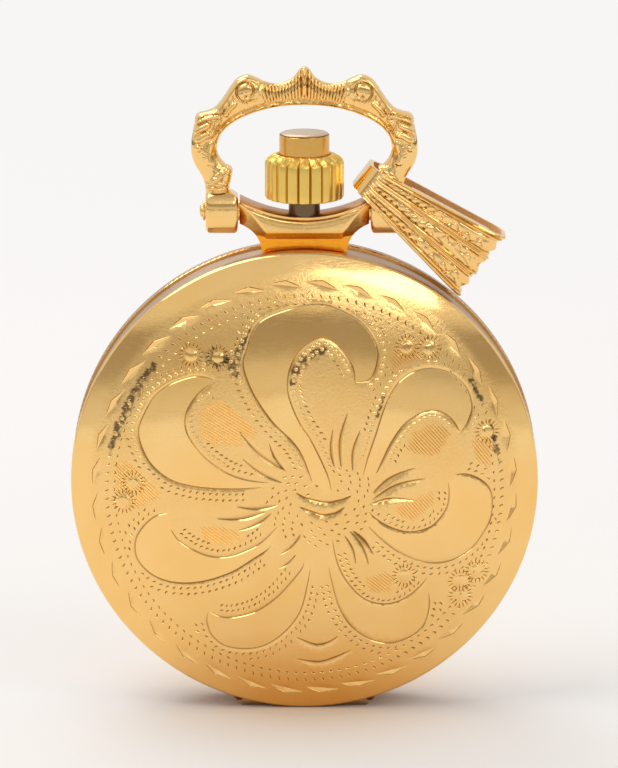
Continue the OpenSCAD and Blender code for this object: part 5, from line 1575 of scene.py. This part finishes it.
class WATCH_OT_bail(bpy.types.Operator):
    """Adds the tapered bail with its engraved fan"""

    bl_idname = "watch.bail"
    bl_label = "Bail"

    def execute(self, context):
        o = make_bail()
        o.data.materials.append(bpy.data.materials["cast_gold"])
        o.data.materials.append(bpy.data.materials["bail_inside"])
        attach(o, "bail")
        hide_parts("bail")
        return {"FINISHED"}


# The crown, its button and the pendant


CROWN_LOW, CROWN_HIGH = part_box("crown")
CROWN_R = CROWN_HIGH.x / MM
CROWN_FOOT = CROWN_LOW.z / MM - CASE_Z
CROWN_TOP = CROWN_HIGH.z / MM - CASE_Z
CROWN_FLUTES = 20
CROWN_SLANT = 0.42
CROWN_HOLE = 1.59
RIB_ROUND = 0.07
GROOVE_DEEP = 0.2
GROOVE_FROM = 0.8
BUTTON_LOW, BUTTON_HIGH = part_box("crown_button")


def make_crown():
    """Rounded ribs with narrow grooves between them, and a slanting top cut into facets."""
    per_flute = 18
    around = CROWN_FLUTES * per_flute
    slant_z = CROWN_TOP - CROWN_SLANT * 0.8
    rows = [(0.62, CROWN_FOOT + 0.28, 0), (1.45, CROWN_FOOT + 0.2, 0), (1.95, CROWN_FOOT + 0.05, 0),
            (CROWN_R - 0.24, CROWN_FOOT, 1.3), (CROWN_R - 0.05, CROWN_FOOT + 0.07, 1.15),
            (CROWN_R, CROWN_FOOT + 0.2, 1)]
    rows += [(CROWN_R, CROWN_FOOT + 0.24 + (slant_z - CROWN_FOOT - 0.5) * t / 6, 1) for t in range(1, 7)]
    rows += [(CROWN_R - 0.02, slant_z - 0.16, 1), (CROWN_R - 0.07, slant_z - 0.05, 1)]
    top_rows = [(CROWN_R - 0.1 - (CROWN_R - 0.1 - CROWN_HOLE - 0.12) * t / 8, t / 8) for t in range(9)]
    # how far each place round the crown lies from the middle of its rib, from 0 to 1 in the groove
    phases = [abs((k % per_flute) / per_flute * 2 - 1) for k in range(around)]
    hollows = [RIB_ROUND * p * p + GROOVE_DEEP * max(0, p - GROOVE_FROM) / (1 - GROOVE_FROM) for p in phases]
    angles = [2 * math.pi * (k + per_flute / 2) / around for k in range(around)]
    points = []
    for radius, z, cut in rows:
        points += [(radius - cut * hollow, a, z) for hollow, a in zip(hollows, angles)]
    for radius, t in top_rows:
        ridge = slant_z + (CROWN_TOP - slant_z) * min(1, t * 1.15 + 0.1)
        valley = 0.3 * (1 - abs(2 * t - 0.5) / 1.5)
        for phase, hollow, a in zip(phases, hollows, angles):
            points.append((radius - hollow * (1 - t), a, ridge - valley * phase))
    tail = [(CROWN_HOLE + 0.04, CROWN_TOP - 0.16), (CROWN_HOLE, CROWN_TOP - 0.3),
            (CROWN_HOLE, CROWN_TOP - 1.3), (0.62, CROWN_TOP - 1.3)]
    for radius, z in tail:
        points += [(radius, a, z) for a in angles]
    count = len(points) // around
    faces = []
    for i in range(count):
        j = (i + 1) % count
        for k in range(around):
            m = (k + 1) % around
            faces.append((i * around + k, i * around + m, j * around + m, j * around + k))
    flat = [(r * math.sin(a), -r * math.cos(a), z) for r, a, z in points]
    o = mesh_object("crown_fluted", flat, (), faces)
    face_outwards()
    return place(smooth(o, 26), STAND)


def make_button():
    """The push button: a straight side under a slightly domed cap with a fine dark line between them."""
    r = BUTTON_HIGH.x / MM
    top = BUTTON_HIGH.z / MM - CASE_Z
    foot = BUTTON_LOW.z / MM - CASE_Z
    cap = top - 0.14
    outline = [(0, top - 0.04), (r * 0.5, top - 0.055), (r - 0.16, top - 0.085), (r - 0.07, cap + 0.01),
               (r - 0.05, cap - 0.04), (r - 0.02, cap - 0.05), (r, cap - 0.08), (r, foot + 0.05),
               (r - 0.05, foot), (r - 0.3, foot), (r - 0.3, top - 0.6), (0, top - 0.6)]
    o = smooth(turned("push_button", outline, 96), 30)
    for finish in ("brushed_button", "button_cap", "dark_steel"):
        o.data.materials.append(bpy.data.materials[finish])
    for face in o.data.polygons:
        middle = sum((o.data.vertices[v].co for v in face.vertices), Vector()) / len(face.vertices)
        if middle.z > cap:
            face.material_index = 1
        elif middle.z > cap - 0.05 and middle.xy.length > r - 0.1:
            face.material_index = 2
    return place(o, STAND)


class WATCH_OT_crown(bpy.types.Operator):
    """Adds the fluted crown and its push button"""

    bl_idname = "watch.crown"
    bl_label = "Crown and button"

    def execute(self, context):
        crown = make_crown()
        crown.data.materials.append(bpy.data.materials["crown_gold"])
        for o, node, body in ((crown, "crown", "crown"), (make_button(), "crown_button", "button")):
            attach(o, body)
            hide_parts(node)
        return {"FINISHED"}


PENDANT_HALF = 4.0
PENDANT_DEPTH = 1.2
FLANK_MIDDLE = (4.35, 14.2)
FLANK_R = 1.75
FACET_LOW = (2.15, 15.25)
FACET_HIGH = (3.75, 17.5)
FACET_FALL = 0.7
LOWER_BAND = 15.55
SADDLE_LOW = 16.55
SADDLE_BEND = 0.0655
SLEEVE_BORE = 0.97
SCREW_BORE = 0.5


def make_pendant():
    """A saddle shaped block whose rounded front narrows to the band, with slanting corner faces."""
    across, up = 120, 56
    low_y, ear_y = BAND_R - 0.55, 17.58

    def row_half(y):
        """Half width at a height: straight ears over a hollow flank."""
        reach = FLANK_R ** 2 - (y - FLANK_MIDDLE[1]) ** 2
        return min(PENDANT_HALF, FLANK_MIDDLE[0] - math.sqrt(reach)) if reach > 0 else PENDANT_HALF

    s = np.sin(np.linspace(-math.pi / 2, math.pi / 2, across + 1))
    t = np.linspace(0, 1, up + 1)
    grid = np.zeros((up + 1, across + 1, 2))
    depth = np.zeros((up + 1, across + 1))
    for i, share in enumerate(t):
        for k, side in enumerate(s):
            x = PENDANT_HALF * side
            for _ in range(6):
                top = min(ear_y, SADDLE_LOW + SADDLE_BEND * x * x)
                y = low_y + (top - low_y) * share
                x = 0.5 * (x + float(row_half(y)) * side)
            grid[i, k] = (x, y)
            fall = top - y
            bulge = PENDANT_DEPTH - 0.4 * math.exp(-fall / 0.22) - min(0.2, 0.46 * max(0, LOWER_BAND - y))
            bead = 0.09 * math.exp(-((fall - 0.1) / 0.07) ** 2)
            line = 0.06 * math.exp(-((fall - 0.27) / 0.06) ** 2)
            rise = np.clip((y - FACET_LOW[1]) / (FACET_HIGH[1] - FACET_LOW[1]), 0, 1)
            edge = FACET_LOW[0] + (FACET_HIGH[0] - FACET_LOW[0]) * rise
            facet = PENDANT_DEPTH - FACET_FALL * (abs(x) - edge)
            soft = 0.03
            depth[i, k] = -soft * math.log(math.exp(-bulge / soft) + math.exp(-facet / soft)) + (bead - line)
    points = []
    for sign in (1, -1):
        for i in range(up + 1):
            for k in range(across + 1):
                points.append((*grid[i, k], sign * max(depth[i, k], 0.05)))
    columns = across + 1
    back = (up + 1) * columns
    faces = []
    for i in range(up):
        for k in range(across):
            a, b = i * columns + k, i * columns + k + 1
            faces.append((a, b, b + columns, a + columns))
            faces.append((back + a, back + a + columns, back + b + columns, back + b))
    rim = list(range(columns))
    rim += [i * columns + across for i in range(1, up + 1)]
    rim += [up * columns + k for k in range(across - 1, -1, -1)]
    rim += [i * columns for i in range(up - 1, 0, -1)]
    for a, b in zip(rim, rim[1:] + rim[:1]):
        faces.append((a, back + a, back + b, b))
    o = mesh_object("pendant_block", points, (), faces)
    face_outwards()
    # bores for the stem sleeve and the bow screws, and the band's own curve
    carve(o, rod(SLEEVE_BORE, 9, (0, 16, 0), (math.pi / 2, 0, 0)))
    for side in (1, -1):
        carve(o, rod(SCREW_BORE, 1, (side * 3.6, BOW_PIVOT, 0)))
    carve(o, rod(BAND_R, 9, (0, 0, 0), (0, 0, 0), 240))
    return place(smooth(o, 32), DIAL_FRAME)


class WATCH_OT_pendant(bpy.types.Operator):
    """Adds the pendant that carries the bow and the crown"""

    bl_idname = "watch.pendant"
    bl_label = "Pendant"

    def execute(self, context):
        o = make_pendant()
        o.data.materials.append(bpy.data.materials["pendant_gold"])
        o.data.materials.append(bpy.data.materials["dull_gold"])
        for face in o.data.polygons:
            if face.normal.z > 0.55 or (abs(face.normal.x) > 0.9
                                        and abs(face.center.x) > 0.9 * PENDANT_HALF * MM):
                face.material_index = 1
        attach(o, "case")
        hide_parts("pendant")
        return {"FINISHED"}


# The printing on the dial


NUMERALS = {1: "I", 2: "II", 3: "III", 4: "IIII", 5: "V", 7: "VII", 8: "VIII", 9: "IX", 10: "X", 11: "XI",
            12: "XII"}
NUMERAL_HIGH = 1.7
NUMERAL_AT = 8.35
NUMERAL_WIDTHS = {"I": 0.52, "V": 1.15, "X": 1.15}
THICK_STROKE = 0.31
THIN_STROKE = 0.15
TRACK = (9.6, 10.08)
RING_WIDE = 0.085
RING_STEPS = 180
SECONDS_X = 5.4
SECONDS_TRACK = (1.9, 2.2)
DIAL_Z = 1.35
SECONDS_Z = 1.27
INK = 0.012


def strokes(text):
    """The bars of a Roman numeral as four-cornered shapes round its middle, with its foot below."""
    left = -sum(NUMERAL_WIDTHS[c] for c in text) / 2
    low, high = -NUMERAL_HIGH / 2, NUMERAL_HIGH / 2
    shapes = []

    def bar(u0, u1, thick):
        shapes.append([(u0 - thick / 2, low), (u0 + thick / 2, low), (u1 + thick / 2, high),
                       (u1 - thick / 2, high)])

    def serif(u, v, reach):
        shapes.append([(u - reach, v - 0.05), (u + reach, v - 0.05), (u + reach, v + 0.05),
                       (u - reach, v + 0.05)])

    for c in text:
        right = left + NUMERAL_WIDTHS[c]
        if c == "I":
            middle = (left + right) / 2
            bar(middle, middle, 0.29)
            serif(middle, low, 0.22)
            serif(middle, high, 0.22)
        elif c == "V":
            middle = (left + right) / 2
            bar(middle, left + 0.22, THICK_STROKE)
            bar(middle, right - 0.2, THIN_STROKE)
            serif(left + 0.22, high, 0.24)
            serif(right - 0.2, high, 0.18)
        else:
            bar(right - 0.22, left + 0.22, THICK_STROKE)
            bar(left + 0.2, right - 0.2, THIN_STROKE)
            for v in (low, high):
                serif(left + 0.22, v, 0.2)
                serif(right - 0.22, v, 0.2)
        left = right
    return shapes


def track(middle, inner, outer, marks, every, long_to, z):
    """Two fine circles with marks between them, every fifth one bolder."""
    shapes = []
    for r in (inner, outer):
        near, far = circle(r, RING_STEPS), circle(r + RING_WIDE, RING_STEPS)
        for k in range(RING_STEPS):
            m = (k + 1) % RING_STEPS
            shapes.append([near[k], far[k], far[m], near[m]])
    for k in range(marks):
        a = 2 * math.pi * k / marks
        bold = k % every == 0
        half = 0.11 if bold else 0.045
        low = long_to if bold else inner
        c, s = math.cos(a), math.sin(a)
        shapes.append([(c * r - s * side, s * r + c * side)
                       for r, side in ((low, -half), (outer, -half), (outer, half), (low, half))])
    return [([(x + middle, y) for x, y in shape], z) for shape in shapes]


def make_dial_print():
    """Roman hours, the minute track and the seconds track as thin raised ink."""
    shapes = track(0, *TRACK, 60, 5, TRACK[0] - 0.12, DIAL_Z)
    shapes += track(SECONDS_X, *SECONDS_TRACK, 60, 5, SECONDS_TRACK[0] - 0.15, SECONDS_Z)
    for hour, text in NUMERALS.items():
        a = math.radians(90 - (hour - 3) * 30)
        c, s = math.cos(a), math.sin(a)
        for shape in strokes(text):
            shapes.append(([(c * (NUMERAL_AT + v) + s * u, s * (NUMERAL_AT + v) - c * u) for u, v in shape],
                           DIAL_Z))
    points, faces = [], []
    for shape, z in shapes:
        n = len(points)
        points += [(x, y, z + 0.001) for x, y in shape] + [(x, y, z + INK) for x, y in shape]
        faces += [(n + 3, n + 2, n + 1, n), (n + 4, n + 5, n + 6, n + 7)]
        faces += [(n + k, n + (k + 1) % 4, n + 4 + (k + 1) % 4, n + 4 + k) for k in range(4)]
    o = mesh_object("dial_print", points, (), faces)
    face_outwards()
    return place(o, DIAL_FRAME)


class WATCH_OT_dial_print(bpy.types.Operator):
    """Adds the printed hours, minutes and seconds of the dial"""

    bl_idname = "watch.dial_print"
    bl_label = "Dial printing"

    def execute(self, context):
        o = make_dial_print()
        o.data.materials.append(bpy.data.materials["dial_ink"])
        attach(o, "case")
        return {"FINISHED"}


# Finishes of the carried-over nodes


FINISH = {
    "polished_gold": ["pendant", "front_hinge_pin", "rear_hinge_pin", "bezel", "bow", "bow_screws", "bail",
                      "balance_screws"],
    "reeded_gold": ["case_band"],
    "crown_gold": ["crown", "crown_button"],
    "satin_steel": ["lock_spring", "lift_spring", "spring_screws", "winding_stem", "cannon_pinion",
                    "pallet_fork", "balance_roller", "regulator", "mainspring", "barrel_arbor",
                    "ratchet_wheel", "crown_wheel", "contrate_wheel", "click", "click_spring",
                    "winding_pinion", "clutch", "setting_lever", "lever_screw", "case_screws"],
    "dark_steel": ["stem_sleeve"],
    "blued_steel": ["hour_hand", "minute_hand", "seconds_hand", "hairspring", "bridge_screws",
                    "crown_wheel_screw", "ratchet_screw"],
    "gilt_brass": ["main_plate", "hour_wheel", "minute_wheel", "centre_wheel", "third_wheel", "fourth_wheel",
                   "escape_wheel", "balance_wheel", "barrel"],
    "striped_nickel": ["barrel_bridge", "train_bridge", "balance_cock", "pallet_cock"],
    "ruby": ["plate_jewels", "cap_jewel", "pallet_stones"],
    "enamel": ["dial"],
    "crystal": ["crystal"],
}


class WATCH_OT_finishes(bpy.types.Operator):
    """Gives every carried-over part its finish"""

    bl_idname = "watch.finishes"
    bl_label = "Finishes"

    def execute(self, context):
        look = context.scene.watch_look
        metal("polished_gold", look.gold_light, look.gold_deep, (0.07, 0.18))
        reeded_gold(look)
        crown_gold(look)
        cast_gold(look)
        pendant_gold(look)
        brushed_button()
        # a dull brown, barely metal copy of the gold: painted shade for the bail's closed-in inside
        metal("bail_inside", (0.86, 0.52, 0.22), (0.7, 0.38, 0.13), (0.5, 0.65), 0.6).set("Metallic", 0.25)
        metal("dull_gold", (0.62, 0.34, 0.16), (0.5, 0.26, 0.11), (0.3, 0.42), 0.7)
        metal("button_cap", (0.66, 0.5, 0.33), (0.6, 0.44, 0.28), (0.22, 0.36), 0.4, 0.05, 0.6)
        steel("satin_steel", (0.42, 0.41, 0.40))
        steel("dark_steel", (0.2, 0.14, 0.08))
        steel("blued_steel", (0.02, 0.04, 0.2), (0.12, 0.22))
        metal("gilt_brass", (0.86, 0.66, 0.34), (0.8, 0.6, 0.3), (0.3, 0.42), 0.4, 0, 0.1)
        striped_nickel()
        ruby = mottled("ruby", (1500, 2, (0.42, 0.01, 0.04), (0.62, 0.02, 0.09)), (3000, 2, 0.04, 0.1))
        ruby.set("IOR", 1.76)
        mottled("enamel", (300, 4, (0.84, 0.82, 0.76), (0.88, 0.87, 0.83)), (900, 3, 0.12, 0.2),
                (500, 0.05, 0.0001))
        mottled("dial_ink", (4000, 2, (0.012, 0.012, 0.014), (0.03, 0.03, 0.034)), (2500, 2, 0.3, 0.4),
                (3000, 0.1, 0.00001))
        clear_crystal()
        for name, nodes in FINISH.items():
            for node in nodes:
                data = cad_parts[node].data
                data.materials.clear()
                data.materials.append(bpy.data.materials[name])
        return {"FINISHED"}


class WATCH_PT_panel(bpy.types.Panel):
    bl_label = "Pocket watch"
    bl_idname = "WATCH_PT_panel"
    bl_space_type = "VIEW_3D"
    bl_region_type = "UI"
    bl_category = "Watch"

    def draw(self, context):
        layout = self.layout
        for group in (context.scene.watch_case, context.scene.watch_look, context.scene.watch_stage):
            box = layout.box()
            for key in group.__annotations__:
                box.prop(group, key)
        for operator in OPERATORS:
            layout.operator(operator.bl_idname)


GROUPS = [("watch_case", CaseSettings), ("watch_look", LookSettings), ("watch_stage", StageSettings)]
OPERATORS = [WATCH_OT_stage, WATCH_OT_finishes, WATCH_OT_covers, WATCH_OT_bow, WATCH_OT_bail, WATCH_OT_crown,
             WATCH_OT_pendant, WATCH_OT_dial_print]


def register():
    for name, group in GROUPS:
        bpy.utils.register_class(group)
        setattr(bpy.types.Scene, name, PointerProperty(type=group))
    for c in OPERATORS + [WATCH_PT_panel]:
        bpy.utils.register_class(c)


def unregister():
    for c in reversed(OPERATORS + [WATCH_PT_panel]):
        bpy.utils.unregister_class(c)
    for name, group in reversed(GROUPS):
        delattr(bpy.types.Scene, name)
        bpy.utils.unregister_class(group)


def main():
    register()
    bpy.ops.watch.stage()
    bpy.ops.watch.finishes()
    bpy.ops.watch.covers()
    bpy.ops.watch.bow()
    bpy.ops.watch.bail()
    bpy.ops.watch.crown()
    bpy.ops.watch.pendant()
    bpy.ops.watch.dial_print()


if __name__ == "__main__":
    main()
